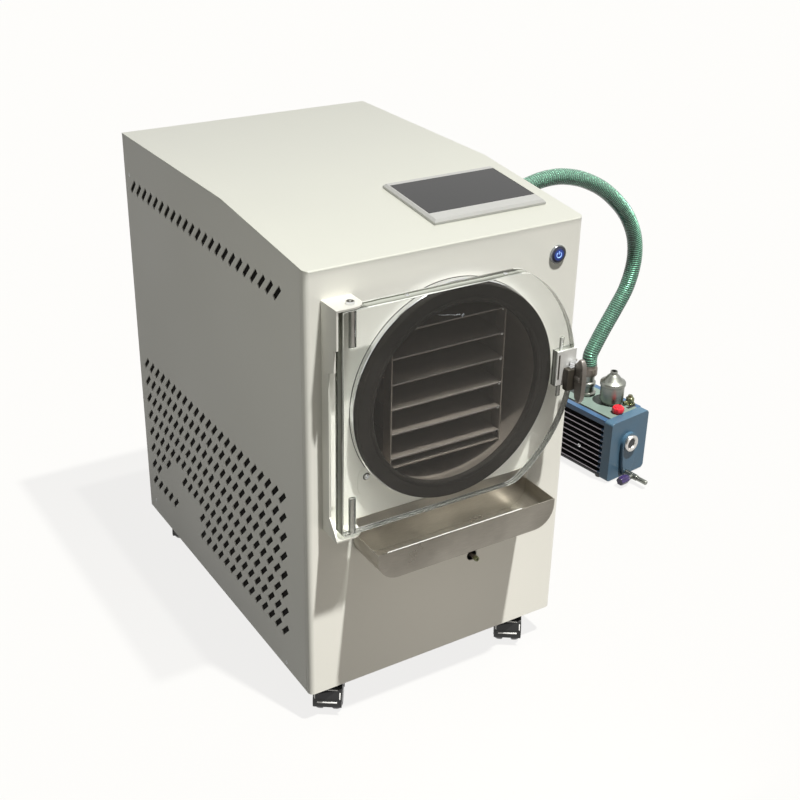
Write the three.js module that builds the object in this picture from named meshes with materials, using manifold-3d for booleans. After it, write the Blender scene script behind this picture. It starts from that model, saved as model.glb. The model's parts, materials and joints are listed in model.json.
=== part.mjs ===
// Freeze dryer with its vacuum pump.
//
// A white cabinet on four casters holds a horizontal steel vacuum chamber with
// six shelves. A clear acrylic door hangs on the left of the chamber mouth and a
// drip tray sits below it. A stiff hose leads from the right side of the cabinet
// to a rotary vane pump that stands on the floor beside it.
//
// Millimetres. +X is to the right of someone facing the door, +Y to the rear and
// +Z up. The pieces are laid out from the middle of the cabinet's front edge at
// floor level. The finished group is then centred on its own footprint.

import * as THREE from 'three';
import { mergeVertices } from 'three/addons/utils/BufferGeometryUtils.js';
import Module from 'manifold-3d';

const wasm = await Module();
wasm.setup();

// ---------------------------------------------------------------------------
// Driving dimensions
// ---------------------------------------------------------------------------

// Clearances
const fitGap = 0.3;
const runningGap = 0.4;
const seamGap = 0.8;

// Cabinet shell
const sheet = 2;
const cabinetWidth = 500;
const cabinetDepth = 696;
const topRoom = 266.5;
const slopeRun = 275.6;
const slopeDrop = 27.5;
const cornerRadius = 9;
const noseRadius = 3;
const frontReturn = 12.5;
const panFlange = 25;

// Slanted air slots in the side panels
const slotLength = 32;
const slotWidth = 9;
const slotTilt = 47;
const slotPitch = 26;
const slotRearMargin = 37;
const slotFrontMargin = 80;
const upperRowDrop = 90;
const gridTopHeight = 339;
const gridPitch = 37.2;
const gridRows = 8;

// Exhaust slots in the rear panel
const exhaustSlots = 9;
const exhaustSlotLength = 150;
const exhaustSlotWidth = 7;
const exhaustPitch = 16;
const exhaustHeight = 80;

// Vacuum chamber
const axisHeight = 515;
const chamberBore = 320;
const chamberWall = 3;
const chamberLength = 430;
const chamberRearWall = 4;
const flangeDiameter = 364;
const flangeStand = 10;
const chamberSides = 40;
const sealOuterDiameter = 360;
const sealInnerDiameter = 304;
const sealRound = 3.5;
const drainRadius = 5;
const drainBoreRadius = 3.5;
const drainOffset = 66;
const drainHeight = 172;
const drainReach = 18;
const drainRoom = 5;
const drainLift = 2;

// Cooling coil, insulation and stand
const coilTube = 10;
const coilTurns = 4;
const coilSteps = 16;
const coilStart = 44;
const coilEndInset = 6;
const jacketSides = 32;
const jacketWall = 18;
const jacketStart = 22;
const jacketRearInset = 52;
const standSheet = 6;
const standHalfWidth = 230;
const standLeg = 25;
const standBeam = 34;
const standCheekDrop = 60;
const standInset = 18;
const standRearRoom = 40;

// Shelves
const shelfSideRoom = 57;
const shelfThickness = 3;
const shelfSetback = 7;
const shelfRearRoom = 38;
const shelfCornerGap = 3.7;
const shelfFootRoom = 15.9;
const shelfCount = 6;
const rackSheet = 2;
const rackPostDepth = 22;
const rackRail = 12;

// Refrigeration set
const compressorDiameter = 150;
const compressorHeight = 200;
const compressorX = 90;
const compressorRearMargin = 196;
const compressorPlate = 4;
const compressorFoot = 10;
const condenserThickness = 40;
const condenserLength = 230;
const condenserHeight = 240;
const condenserX = -235;
const condenserRearMargin = 66;
const shroudDepth = 25;
const fanDiameter = 200;
const fanTipGap = 4;
const fanHub = 50;
const fanBlades = 5;
const fanMotorDiameter = 44;
const fanMotorLength = 30;
const refrigerantTube = 8;
const pipeRise = 30;
const pipeArch = 55;
const pipeLead = 40;

// Electrics
const controlBoxWidth = 170;
const controlBoxDepth = 120;
const controlBoxHeight = 240;
const controlBoxX = -125;
const controlBoxDrop = 60;
const inletWidth = 28;
const inletHeight = 20;
const inletFlange = 6;
const inletX = -150;
const inletRise = 60;

// Touch screen on the sloping top
const bezelWidth = 212.5;
const bezelLength = 156;
const bezelHeight = 8;
const bezelBevel = 4;
const bezelRightMargin = 29.5;
const bezelSetback = 59;
const glassWidth = 202;
const glassLength = 117;
const glassThickness = 2.6;
const glassRightInset = 4.5;
const glassRearInset = 12.5;

// Power button
const buttonX = 201.8;
const buttonDrop = 55;
const buttonCap = 24;
const buttonWall = 1.4;
const buttonFlange = 31;
const buttonFlangeThickness = 3;
const buttonDepth = 22;
const buttonStand = 1;
const buttonTravel = 2.5;

// Door
const doorThickness = 25;
const doorStandOff = 22;
const doorHalfHeight = 187;
const doorHingeMargin = 20.5;
const doorArcRadius = 217;
const doorFillet = 45;

// Hinge
const hingeX = -193;
const hingeInset = 8.5;
const hingeWebGap = 28;
const hingeSheet = 3;
const hingeArmDepth = 46;
const hingeStepDepth = 38;
const hingeSpineDepth = 22;
const hingeArmLength = 62;
const hingeStepLength = 38;
const hingeEarReach = 19.5;
const hingeEarRound = 20;
const hingeFlange = 20;
const topEarGap = 1.5;
const bottomEarGap = 5;
const pinSides = 18;
const pinRadius = 4;
const pinLength = 50;
const pinHeadRadius = 7;
const pinHeadHeight = 4;
const bushRadius = 6;
const bushLength = 60;
const bushCollar = 2;

// Quarter-turn latch on the door's right edge
const spindleX = 213;
const spindleRise = -10;
const spindleRadius = 4;
const notchLeft = 180;
const notchBottom = -25;
const notchTop = 37;
const housingRight = 224;
const housingLeft = 194;
const housingFront = 13;
const housingBottom = -32;
const housingTop = 12;
const latchBoltX = 192;
const latchBoltRadius = 4;
const latchBoltReach = 21;
const handleSheet = 5;
const handleReach = 18;
const handleRise = 34;
const handleDrop = 42;
const camThickness = 4;
const camReach = 23;
const camHub = 8;
const keeperGap = 4.5;
const keeperSheet = 3;
const keeperHeight = 24;
const keeperLip = 13;

// Drip tray
const trayLeft = -170;
const trayRight = 172;
const trayDepth = 80;
const trayRimDrop = 217;
const trayWallHeight = 50;
const trayRound = 38;
const trayBackRise = 32;
const traySheet = 1.5;

// Casters
const wheelRadius = 25;
const wheelWidth = 18;
const wheelSides = 16;
const wheelTrack = 14;
const axleRadius = 4;
const casterHeight = 62;
const casterTrail = 20;
const casterTurn = -35;
const casterInset = 62;
const casterSetback = 45;
const hoodWall = 3;
const stemRadius = 5;
const stemRing = 2;

// Vacuum port and hose
const portLead = 20.7;
const portRun = 30;
const portPipe = 32;
const portBore = 25;
const portBend = 60;
const portReach = 35;
const portFlange = 60;
const portFlangeThickness = 4;
const hoseDiameter = 35;
const hoseSides = 12;
const hoseSteps = 24;

// Vacuum pump, laid out from the middle of its front face on the floor
const pumpX = 758.5;
const pumpY = 372.8;
const pumpTurn = 7.5;
const pumpWidth = 120;
const pumpHeight = 150;
const pumpFoot = 4;
const pumpFootRadius = 8;
const pumpCoverDepth = 24;
const pumpCaseLength = 151;
const pumpFinDepth = 13;
const pumpFinPitch = 13.5;
const pumpFinThickness = 3;
const pumpFins = 8;
const pumpTopBlock = 24;
const pumpBottomBlock = 6;
const pumpRail = 14;
const pumpGroove = 6;
const pumpGrooveDepth = 5;
const bossHalfWidth = 20;
const bossStand = 8;
const sightX = -3;
const sightHeight = 90;
const sightRadius = 20;
const sightDepth = 6;
const oilCapX = -7;
const oilCapY = 34;
const oilCapRadius = 14;
const oilCapHeight = 16;
const canisterX = 20;
const canisterY = 79;
const canisterRadius = 27;
const canisterHeight = 52;
const canisterCone = 26;
const exhaustBore = 6;
const exhaustBoreDepth = 16;
const pumpInletX = 7.2;
const pumpInletY = 142.5;
const pumpInletHeight = 75;
const ballastX = 47;
const ballastY = 47;
const ballastRadius = 9.5;
const ballastHeight = 22;
const valveX = -8;
const valveHeight = 16;
const valveRadius = 7;
const valveLength = 34;
const spoutLength = 32;
const spoutRadius = 4;
const knobRadius = 10.5;
const knobLength = 28;
const motorRadius = 62;
const motorLength = 196;
const motorAxisHeight = 80;

// ---------------------------------------------------------------------------
// Derived levels
// ---------------------------------------------------------------------------

const baseZ = casterHeight;
const axisZ = baseZ + axisHeight;
const topZ = axisZ + topRoom;
const frontTopZ = topZ - slopeDrop;
const panTop = baseZ + sheet;
const halfWidth = cabinetWidth / 2;
const compressorY = cabinetDepth - compressorRearMargin;
const condenserY = cabinetDepth - condenserRearMargin - condenserLength;
const shellHalf = halfWidth - sheet - fitGap;
const shellRear = cabinetDepth - sheet - fitGap;
const boreRadius = chamberBore / 2;
const tubeRadius = boreRadius + chamberWall;
const chamberRear = chamberLength + chamberRearWall;
const jacketLength = chamberLength - jacketRearInset - jacketStart;
const coilRadius = (tubeRadius + fitGap + coilTube / 2) / Math.cos(Math.PI / coilSteps);
const jacketInner = (coilRadius + coilTube / 2 + 2 * fitGap) / Math.cos(Math.PI / jacketSides);
const jacketOuter = jacketInner + jacketWall;
const portY = chamberRear + fitGap + portLead + portBend;
const doorBackY = -doorStandOff;
const doorFrontY = doorBackY - doorThickness;
const doorMidY = doorBackY - doorThickness / 2;
const hingeY = doorBackY - hingeInset;
const doorLeft = hingeX - doorHingeMargin;
const slopeAngle = Math.atan2(slopeDrop, slopeRun);

const coverTop = (y) => frontTopZ + (slopeDrop * Math.min(y, slopeRun)) / slopeRun;
const coverUnderside = (y) => coverTop(y) - sheet - fitGap;

// ---------------------------------------------------------------------------
// Geometry helpers
// ---------------------------------------------------------------------------

const degrees = THREE.MathUtils.degToRad;

// Points of an arc in a plane, from one angle to another in degrees.
function arc(centreA, centreB, radius, from, to, steps) {
  const points = [];
  for (let i = 0; i <= steps; i += 1) {
    const angle = degrees(from + ((to - from) * i) / steps);
    points.push([centreA + radius * Math.cos(angle), centreB + radius * Math.sin(angle)]);
  }
  return points;
}

function circle(centreA, centreB, radius, sides) {
  return arc(centreA, centreB, radius, 0, 360, sides).slice(0, sides);
}

function rectangle(lowA, highA, lowB, highB) {
  return [[lowA, lowB], [highA, lowB], [highA, highB], [lowA, highB]];
}

// Rectangle with its four corners rounded by the radii given from the low-low
// corner onwards, anticlockwise.
function roundedRectangle(lowA, highA, lowB, highB, radii, steps) {
  const [r0, r1, r2, r3] = radii;
  return [
    ...arc(lowA + r0, lowB + r0, r0, 180, 270, steps),
    ...arc(highA - r1, lowB + r1, r1, 270, 360, steps),
    ...arc(highA - r2, highB - r2, r2, 0, 90, steps),
    ...arc(lowA + r3, highB - r3, r3, 90, 180, steps),
  ];
}

function shapeFrom(points, holes = []) {
  const vector = ([a, b]) => new THREE.Vector2(a, b);
  const shape = new THREE.Shape(points.map(vector));
  shape.holes = holes.map((hole) => new THREE.Path(hole.map(vector)));
  return shape;
}

// Outline pushed along an axis. Along x it lies in (y, z), along y in (x, z) and
// along z in (x, y).
function prism(axis, points, from, to, holes = []) {
  const options = { depth: to - from, bevelEnabled: false, steps: 1 };
  const geometry = new THREE.ExtrudeGeometry(shapeFrom(points, holes), options);
  const x = new THREE.Vector3(1, 0, 0);
  const y = new THREE.Vector3(0, 1, 0);
  const z = new THREE.Vector3(0, 0, 1);
  const turn = new THREE.Matrix4();
  if (axis === 'x') turn.makeBasis(y, z, x).setPosition(from, 0, 0);
  if (axis === 'y') turn.makeBasis(x, z, y.clone().negate()).setPosition(0, to, 0);
  if (axis === 'z') turn.setPosition(0, 0, from);
  return geometry.applyMatrix4(turn);
}

function box(lowX, highX, lowY, highY, lowZ, highZ) {
  const geometry = new THREE.BoxGeometry(highX - lowX, highY - lowY, highZ - lowZ);
  return geometry.translate((lowX + highX) / 2, (lowY + highY) / 2, (lowZ + highZ) / 2);
}

// Profile of [radius, station] points turned about an axis through the origin.
// A profile that doesn't start and end on the axis closes on itself.
function turned(axis, profile, sides, startAngle = 0) {
  const vectors = profile.map(([radius, station]) => new THREE.Vector2(radius, station));
  if (THREE.ShapeUtils.area(vectors) < 0) vectors.reverse();
  const first = vectors[0];
  const last = vectors[vectors.length - 1];
  if (first.x > 0 || last.x > 0) vectors.push(first.clone());
  const geometry = new THREE.LatheGeometry(vectors, sides, startAngle);
  if (axis === 'x') geometry.rotateZ(-Math.PI / 2);
  if (axis === 'z') geometry.rotateX(Math.PI / 2);
  return geometry;
}

function cylinder(axis, centreA, centreB, radius, from, to, sides = 24) {
  const geometry = turned(axis, [[0, from], [radius, from], [radius, to], [0, to]], sides);
  if (axis === 'x') geometry.translate(0, centreA, centreB);
  if (axis === 'y') geometry.translate(centreA, 0, centreB);
  if (axis === 'z') geometry.translate(centreA, centreB, 0);
  return geometry;
}

// Section swept along a smooth curve through points.
function swept(points, section, steps, hole = []) {
  const path = new THREE.CatmullRomCurve3(points.map((p) => new THREE.Vector3(...p)));
  const options = { steps, extrudePath: path, bevelEnabled: false };
  return new THREE.ExtrudeGeometry(shapeFrom(section, hole), options);
}

// Closed indexed mesh: positions only, shared corners merged, no empty faces.
function closedMesh(geometry) {
  const bare = new THREE.BufferGeometry();
  bare.setAttribute('position', geometry.getAttribute('position').clone());
  if (geometry.index) bare.setIndex(geometry.index.clone());
  const merged = mergeVertices(bare, 1e-4);
  const corners = merged.index.array;
  const kept = [];
  for (let i = 0; i < corners.length; i += 3) {
    const [a, b, c] = corners.slice(i, i + 3);
    if (a !== b && b !== c && c !== a) kept.push(a, b, c);
  }
  merged.setIndex(kept);
  return merged;
}

function toSolid(geometry) {
  const mesh = closedMesh(geometry);
  const vertProperties = Float32Array.from(mesh.getAttribute('position').array);
  const triVerts = Uint32Array.from(mesh.index.array);
  return new wasm.Manifold(new wasm.Mesh({ numProp: 3, vertProperties, triVerts }));
}

function toGeometry(solid) {
  const mesh = solid.getMesh();
  const geometry = new THREE.BufferGeometry();
  const positions = new THREE.BufferAttribute(Float32Array.from(mesh.vertProperties), 3);
  geometry.setAttribute('position', positions);
  geometry.setIndex(Array.from(mesh.triVerts));
  return geometry;
}

function join(...geometries) {
  const solids = geometries.map(toSolid);
  return toGeometry(solids.reduce((whole, next) => whole.add(next)));
}

function cut(geometry, ...tools) {
  const solids = tools.map(toSolid);
  return toGeometry(solids.reduce((rest, tool) => rest.subtract(tool), toSolid(geometry)));
}

function common(first, second) {
  return toGeometry(toSolid(first).intersect(toSolid(second)));
}

// ---------------------------------------------------------------------------
// Materials
// ---------------------------------------------------------------------------

const material = (color, roughness, metalness = 0) => () =>
  new THREE.MeshStandardMaterial({ color, roughness, metalness });

const whitePaint = material(0xe9e9e2, 0.45);
const galvanised = material(0x9c9fa1, 0.5, 0.8);
const stainless = material(0xb9b7b0, 0.3, 1);
const chrome = material(0xd6d8da, 0.12, 1);
const blackRubber = material(0x1c1a19, 0.7);
const copper = material(0xb4704a, 0.35, 1);
const foam = material(0x2a2a2a, 0.95);
const blackPaint = material(0x191919, 0.4);
const clearAcrylic = material(0xdfe8e6, 0.05);
const greyPlastic = material(0xc9ccc8, 0.5);
const darkGlass = material(0x3b3d40, 0.15);
const blueLamp = material(0x2b46c8, 0.3);
const aluminium = material(0xb5b8b6, 0.35, 1);
const darkSteel = material(0x57524a, 0.4, 1);
const blackPlastic = material(0x111112, 0.25);
const greenHose = material(0x4f9c83, 0.3);
const bluePaint = material(0x4b6f92, 0.45);
const redPlastic = material(0xd3202c, 0.4);
const brass = material(0x8d8a5c, 0.35, 1);
const purplePlastic = material(0x2a2140, 0.3);

// ---------------------------------------------------------------------------
// Assembly
// ---------------------------------------------------------------------------

const dryer = new THREE.Group();

function place(name, geometry, makeMaterial, parent = dryer) {
  const mesh = new THREE.Mesh(closedMesh(geometry), makeMaterial());
  mesh.name = name;
  mesh.geometry.computeVertexNormals();
  parent.add(mesh);
  return mesh;
}

function subGroup(x, y, z, parent = dryer) {
  const group = new THREE.Group();
  group.position.set(x, y, z);
  parent.add(group);
  return group;
}

// ---------------------------------------------------------------------------
// Cabinet
// ---------------------------------------------------------------------------

const casterX = halfWidth - casterInset;
const casterYs = [casterSetback, cabinetDepth - casterSetback];

function basePan() {
  const outerRound = cornerRadius - sheet - fitGap;
  const innerRound = Math.max(outerRound - sheet, 0.5);
  const lowY = sheet + fitGap;
  const round = (inset, radius) => roundedRectangle(
    -shellHalf + inset, shellHalf - inset, lowY + inset, shellRear - inset,
    [radius, radius, radius, radius], 4,
  );
  const stemHole = stemRadius + runningGap;
  const holes = [-casterX, casterX].flatMap((x) =>
    casterYs.map((y) => circle(x, y, stemHole, 16)));
  const floor = prism('z', round(0, outerRound), baseZ, panTop, holes);
  const wall = prism('z', round(0, outerRound), baseZ, baseZ + panFlange, [round(sheet, innerRound)]);
  return join(floor, wall);
}

// The front sheet wraps both front corners and ends under the folded nose of
// the top cover.
function frontPanel() {
  const inner = cornerRadius - sheet;
  const plan = [
    [-halfWidth, frontReturn],
    ...arc(-halfWidth + cornerRadius, cornerRadius, cornerRadius, 180, 270, 5),
    ...arc(halfWidth - cornerRadius, cornerRadius, cornerRadius, 270, 360, 5),
    [halfWidth, frontReturn],
    [halfWidth - sheet, frontReturn],
    ...arc(halfWidth - cornerRadius, cornerRadius, inner, 360, 270, 5),
    ...arc(-halfWidth + cornerRadius, cornerRadius, inner, 270, 180, 5),
    [-halfWidth + sheet, frontReturn],
  ];
  const lipY = sheet + fitGap;
  const lipZ = frontTopZ - noseRadius - fitGap;
  const beyond = frontReturn + 1;
  const coverRoom = [
    [-1, lipZ],
    [lipY, lipZ],
    [lipY, coverUnderside(lipY)],
    [beyond, coverUnderside(beyond)],
    [beyond, topZ],
    [-1, topZ],
  ];
  const barrelRadius = buttonCap / 2 + fitGap + buttonWall;
  return cut(
    prism('z', plan, baseZ, topZ - 1),
    prism('x', coverRoom, -halfWidth - 1, halfWidth + 1),
    cylinder('y', 0, axisZ, tubeRadius + seamGap, -1, sheet + 1, chamberSides),
    cylinder('y', buttonX, frontTopZ - buttonDrop, barrelRadius + fitGap, -1, sheet + 1),
    cylinder('y', drainOffset, baseZ + drainHeight + drainLift, drainRadius + drainRoom, -1, sheet + 1, 16),
  );
}

// Slanted slot. Its upper end leans towards the front.
function airSlot(y, z) {
  const half = slotLength / 2;
  const side = slotWidth / 2;
  const angle = degrees(slotTilt);
  return rectangle(-half, half, -side, side).map(([along, across]) => [
    y - along * Math.cos(angle) + across * Math.sin(angle),
    z + along * Math.sin(angle) + across * Math.cos(angle),
  ]);
}

const slotRun = cabinetDepth - slotRearMargin - slotFrontMargin;
const slotColumns = Math.floor(slotRun / slotPitch) + 1;
const slotY = (column) => cabinetDepth - slotRearMargin - column * slotPitch;

// Columns are counted from the rear. The lower grid leaves a solid patch in its
// three lowest rows.
function isSolidPatch(row, column) {
  const fromBottom = gridRows - 1 - row;
  const patch = { 2: [4, 5], 1: [2, 8], 0: [5, 8] }[fromBottom];
  return patch !== undefined && column >= patch[0] && column <= patch[1];
}

function slotRow(height, keep = () => true) {
  const slots = [];
  for (let column = 0; column < slotColumns; column += 1) {
    if (keep(column)) slots.push(airSlot(slotY(column), height));
  }
  return slots;
}

function sidePanelOutline() {
  const front = frontReturn + seamGap;
  return [
    [front, baseZ],
    [cabinetDepth, baseZ],
    [cabinetDepth, coverUnderside(cabinetDepth)],
    [slopeRun, coverUnderside(slopeRun)],
    [front, coverUnderside(front)],
  ];
}

function leftPanel() {
  const slots = slotRow(topZ - upperRowDrop);
  for (let row = 0; row < gridRows; row += 1) {
    const height = baseZ + gridTopHeight - row * gridPitch;
    slots.push(...slotRow(height, (column) => !isSolidPatch(row, column)));
  }
  return prism('x', sidePanelOutline(), -halfWidth, -halfWidth + sheet, slots);
}

function rightPanel() {
  const portHole = circle(portY, axisZ, portPipe / 2 + fitGap, 24);
  const slots = [...slotRow(topZ - upperRowDrop), portHole];
  return prism('x', sidePanelOutline(), halfWidth - sheet, halfWidth, slots);
}

function rearPanel() {
  const slots = [];
  for (let i = 0; i < exhaustSlots; i += 1) {
    const z = baseZ + exhaustHeight + i * exhaustPitch;
    slots.push(rectangle(0, exhaustSlotLength, z, z + exhaustSlotWidth));
  }
  const inletZ = baseZ + inletRise;
  slots.push(rectangle(
    inletX - inletWidth / 2 - fitGap, inletX + inletWidth / 2 + fitGap,
    inletZ - inletHeight / 2 - fitGap, inletZ + inletHeight / 2 + fitGap,
  ));
  const plate = rectangle(-shellHalf, shellHalf, baseZ, coverUnderside(cabinetDepth));
  return prism('y', plate, cabinetDepth - sheet, cabinetDepth, slots);
}

// One sheet folded at the front nose and at the kink.
function topCover() {
  const nose = arc(noseRadius, frontTopZ - noseRadius, noseRadius, 180, 90, 4);
  const side = [
    ...nose,
    [slopeRun, topZ],
    [cabinetDepth, topZ],
    [cabinetDepth, topZ - sheet],
    [slopeRun, topZ - sheet],
    [sheet, coverTop(sheet) - sheet],
    [sheet, frontTopZ - noseRadius],
  ];
  const plan = roundedRectangle(
    -halfWidth, halfWidth, 0, cabinetDepth, [cornerRadius, cornerRadius, 0.01, 0.01], 5,
  );
  return common(
    prism('x', side, -halfWidth - 1, halfWidth + 1),
    prism('z', plan, frontTopZ - noseRadius - 1, topZ + 1),
  );
}

place('base_pan', basePan(), galvanised);
place('front_panel', frontPanel(), whitePaint);
place('left_panel', leftPanel(), whitePaint);
place('right_panel', rightPanel(), whitePaint);
place('rear_panel', rearPanel(), whitePaint);
place('top_cover', topCover(), whitePaint);

// ---------------------------------------------------------------------------
// Chamber, seal, coil, insulation, stand
// ---------------------------------------------------------------------------

const chamberGroup = subGroup(0, 0, axisZ);
const flangeRadius = flangeDiameter / 2;

// Drawn steel tube with a mouth flange in front of the panel, a rear wall with
// the suction hole, and a drain tube brazed under it.
function chamber() {
  const suction = portBore / 2;
  const shell = turned('y', [
    [boreRadius, -flangeStand],
    [flangeRadius - 1, -flangeStand],
    [flangeRadius, 1 - flangeStand],
    [flangeRadius, -fitGap],
    [tubeRadius, -fitGap],
    [tubeRadius, chamberRear],
    [suction, chamberRear],
    [suction, chamberLength],
    [boreRadius, chamberLength],
  ], chamberSides);
  const rootRadius = tubeRadius - chamberWall / 2;
  const rootZ = -Math.sqrt(rootRadius ** 2 - drainOffset ** 2);
  const drainY = sheet + drainRadius + 3;
  const outletZ = drainHeight - axisHeight;
  const drainPoints = (lift, reach) => [
    [drainOffset, drainY, rootZ + lift],
    [drainOffset, drainY, (rootZ + outletZ) / 2],
    [drainOffset, drainY, outletZ + 30],
    [drainOffset, drainY - 4, outletZ + 8],
    [drainOffset, -2, outletZ],
    [drainOffset, -reach, outletZ - 4],
  ];
  const drain = swept(drainPoints(0, drainReach), circle(0, 0, drainRadius, 10), 14);
  const drainBore = swept(drainPoints(9, drainReach + 1), circle(0, 0, drainBoreRadius, 10), 14);
  return cut(join(shell, drain), drainBore);
}

function doorSeal() {
  const front = doorBackY + fitGap;
  const back = -flangeStand - fitGap;
  const outer = sealOuterDiameter / 2;
  const inner = sealInnerDiameter / 2;
  const groove = (outer + inner) / 2;
  return turned('y', [
    [inner, back],
    [inner, front + sealRound],
    [inner + sealRound, front],
    [groove - sealRound, front],
    [groove, front + sealRound / 2],
    [groove + sealRound, front],
    [outer - sealRound, front],
    [outer, front + sealRound],
    [outer, back],
  ], chamberSides);
}

// Copper tube wound on the chamber. Its tail leaves behind the insulation and
// runs down to the compressor's side.
function evaporatorCoil() {
  const points = [];
  const count = coilTurns * coilSteps;
  const jacketEnd = jacketStart + jacketLength;
  const coilRun = jacketEnd - coilEndInset - coilStart;
  for (let i = 0; i <= count; i += 1) {
    const angle = degrees(-90 - (360 * (count - i)) / coilSteps);
    const y = coilStart + (coilRun * i) / count;
    points.push([coilRadius * Math.cos(angle), y, coilRadius * Math.sin(angle)]);
  }
  const compressorSide = compressorX - compressorDiameter / 2 - fitGap;
  const portZ = panTop + compressorFoot + compressorHeight * 0.55 - axisZ;
  points.push(
    [24, jacketEnd + 7, 1 - coilRadius],
    [36, jacketEnd + 18, -coilRadius - 20],
    [10, (compressorY + jacketEnd) / 2, (portZ - coilRadius) / 2],
    [compressorSide - 34, compressorY - 6, portZ + 30],
    [compressorSide - 18, compressorY, portZ],
    [compressorSide, compressorY, portZ],
  );
  return swept(points, circle(0, 0, coilTube / 2, 6), count + 14);
}

function insulationJacket() {
  const section = rectangle(jacketInner, jacketOuter, jacketStart, jacketStart + jacketLength);
  return turned('y', section, jacketSides);
}

// Two folded frames on floor rails. Each cradles the insulated chamber.
function chamberStand() {
  const foot = panTop + fitGap - axisZ;
  const cradle = jacketOuter + fitGap;
  const window = -cradle - standBeam;
  const cheek = -standCheekDrop;
  const inner = standHalfWidth - standLeg;
  const cheekAngle = THREE.MathUtils.radToDeg(Math.asin(cheek / cradle));
  const outline = [
    [-standHalfWidth, cheek], [-standHalfWidth, foot], [-inner, foot], [-inner, window],
    [inner, window], [inner, foot], [standHalfWidth, foot], [standHalfWidth, cheek],
    ...arc(0, 0, cradle / Math.cos(Math.PI / 48), cheekAngle, -180 - cheekAngle, 18),
  ];
  const frontY = jacketStart + standInset;
  const jacketSeat = jacketStart + jacketLength - standInset;
  const rearY = Math.min(jacketSeat, condenserY - standRearRoom) - standSheet;
  const rails = [[-standHalfWidth, -inner], [inner, standHalfWidth]];
  return join(
    prism('y', outline, frontY, frontY + standSheet),
    prism('y', outline, rearY, rearY + standSheet),
    ...rails.map(([low, high]) => box(low, high, frontY, rearY + standSheet, foot, foot + standSheet)),
  );
}

place('chamber', chamber(), stainless, chamberGroup);
place('door_seal', doorSeal(), blackRubber, chamberGroup);
place('evaporator_coil', evaporatorCoil(), copper, chamberGroup);
place('insulation_jacket', insulationJacket(), foam, chamberGroup);
place('chamber_stand', chamberStand(), galvanised, chamberGroup);

// ---------------------------------------------------------------------------
// Shelf rack and shelves
// ---------------------------------------------------------------------------

const shelfWidth = chamberBore - 2 * shelfSideRoom;
const shelfDepth = chamberLength - shelfRearRoom - shelfSetback;
const postInner = shelfWidth / 2 + fitGap;
const postOuter = postInner + rackSheet;
const flatBoreRadius = boreRadius * Math.cos(Math.PI / chamberSides);
const rackFoot = -Math.sqrt((flatBoreRadius - fitGap) ** 2 - postOuter ** 2);
const rackTop = Math.sqrt((boreRadius - shelfCornerGap) ** 2 - postOuter ** 2);
const topShelfRise = rackTop - shelfThickness;
const shelfPitch = (topShelfRise - rackFoot - shelfFootRoom) / (shelfCount - 1);

// Four upright strips tied by rails and cross strips along the chamber's bottom.
function shelfRack() {
  const posts = [shelfSetback, shelfSetback + shelfDepth - rackPostDepth];
  const end = shelfSetback + shelfDepth;
  const sides = [[-postOuter, -postInner], [postInner, postOuter]];
  return join(
    ...sides.flatMap(([low, high]) => [
      ...posts.map((y) => box(low, high, y, y + rackPostDepth, rackFoot, rackTop)),
      box(low, high, shelfSetback, end, rackFoot, rackFoot + rackRail),
    ]),
    ...posts.map((y) => box(
      -postInner - rackSheet / 2, postInner + rackSheet / 2,
      y, y + rackPostDepth, rackFoot, rackFoot + rackSheet,
    )),
  );
}

place('shelf_rack', shelfRack(), stainless, chamberGroup);
for (let i = 0; i < shelfCount; i += 1) {
  const shelf = new THREE.BoxGeometry(shelfWidth, shelfDepth, shelfThickness);
  const mesh = place(`shelf_${i + 1}`, shelf, stainless, chamberGroup);
  const z = topShelfRise - i * shelfPitch + shelfThickness / 2;
  mesh.position.set(0, shelfSetback + shelfDepth / 2, z);
}

// ---------------------------------------------------------------------------
// Refrigeration set and electrics
// ---------------------------------------------------------------------------

// Hermetic can on a base plate with four rubber-tipped feet.
function compressor() {
  const radius = compressorDiameter / 2;
  const plateHalf = radius + 8;
  const low = compressorFoot + compressorPlate;
  const feet = [-1, 1].flatMap((sx) => [-1, 1].map((sy) =>
    cylinder('z', sx * (plateHalf - 12), sy * (plateHalf - 12), 10, 0, compressorFoot + 1, 12)));
  const can = turned('z', [
    [0, compressorFoot + 1],
    [radius, compressorFoot + 1],
    [radius, compressorHeight - 34],
    [radius * 0.88, compressorHeight - 14],
    [radius * 0.55, compressorHeight],
    [0, compressorHeight],
  ], 24);
  const plate = box(-plateHalf, plateHalf, -plateHalf, plateHalf, compressorFoot, low);
  return join(plate, can, ...feet);
}

const compressorMesh = place('compressor', compressor(), blackPaint);
compressorMesh.position.set(compressorX, compressorY, panTop + fitGap);

const condenserRight = condenserX + condenserThickness;
const condenserBottom = panTop + fitGap;
const condenserTop = condenserBottom + condenserHeight;
const fanY = condenserY + condenserLength / 2;

// Finned block between two end plates, with its inlet stub on top.
function condenser() {
  const inset = 6;
  const end = condenserY + condenserLength;
  const stubX = condenserX + condenserThickness / 2;
  return join(
    box(condenserX + inset, condenserRight - inset, condenserY, end,
      condenserBottom + inset, condenserTop - inset),
    box(condenserX, condenserRight, condenserY, condenserY + sheet, condenserBottom, condenserTop),
    box(condenserX, condenserRight, end - sheet, end, condenserBottom, condenserTop),
    cylinder('z', stubX, fanY, refrigerantTube / 2 + 2, condenserTop - inset - 1, condenserTop + 10, 12),
  );
}

const shroudLeft = condenserRight + fitGap;
const fanOpening = fanDiameter / 2 + fanTipGap;
const fanShaftRadius = 3;
const fanSpoke = 2.5;

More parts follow.
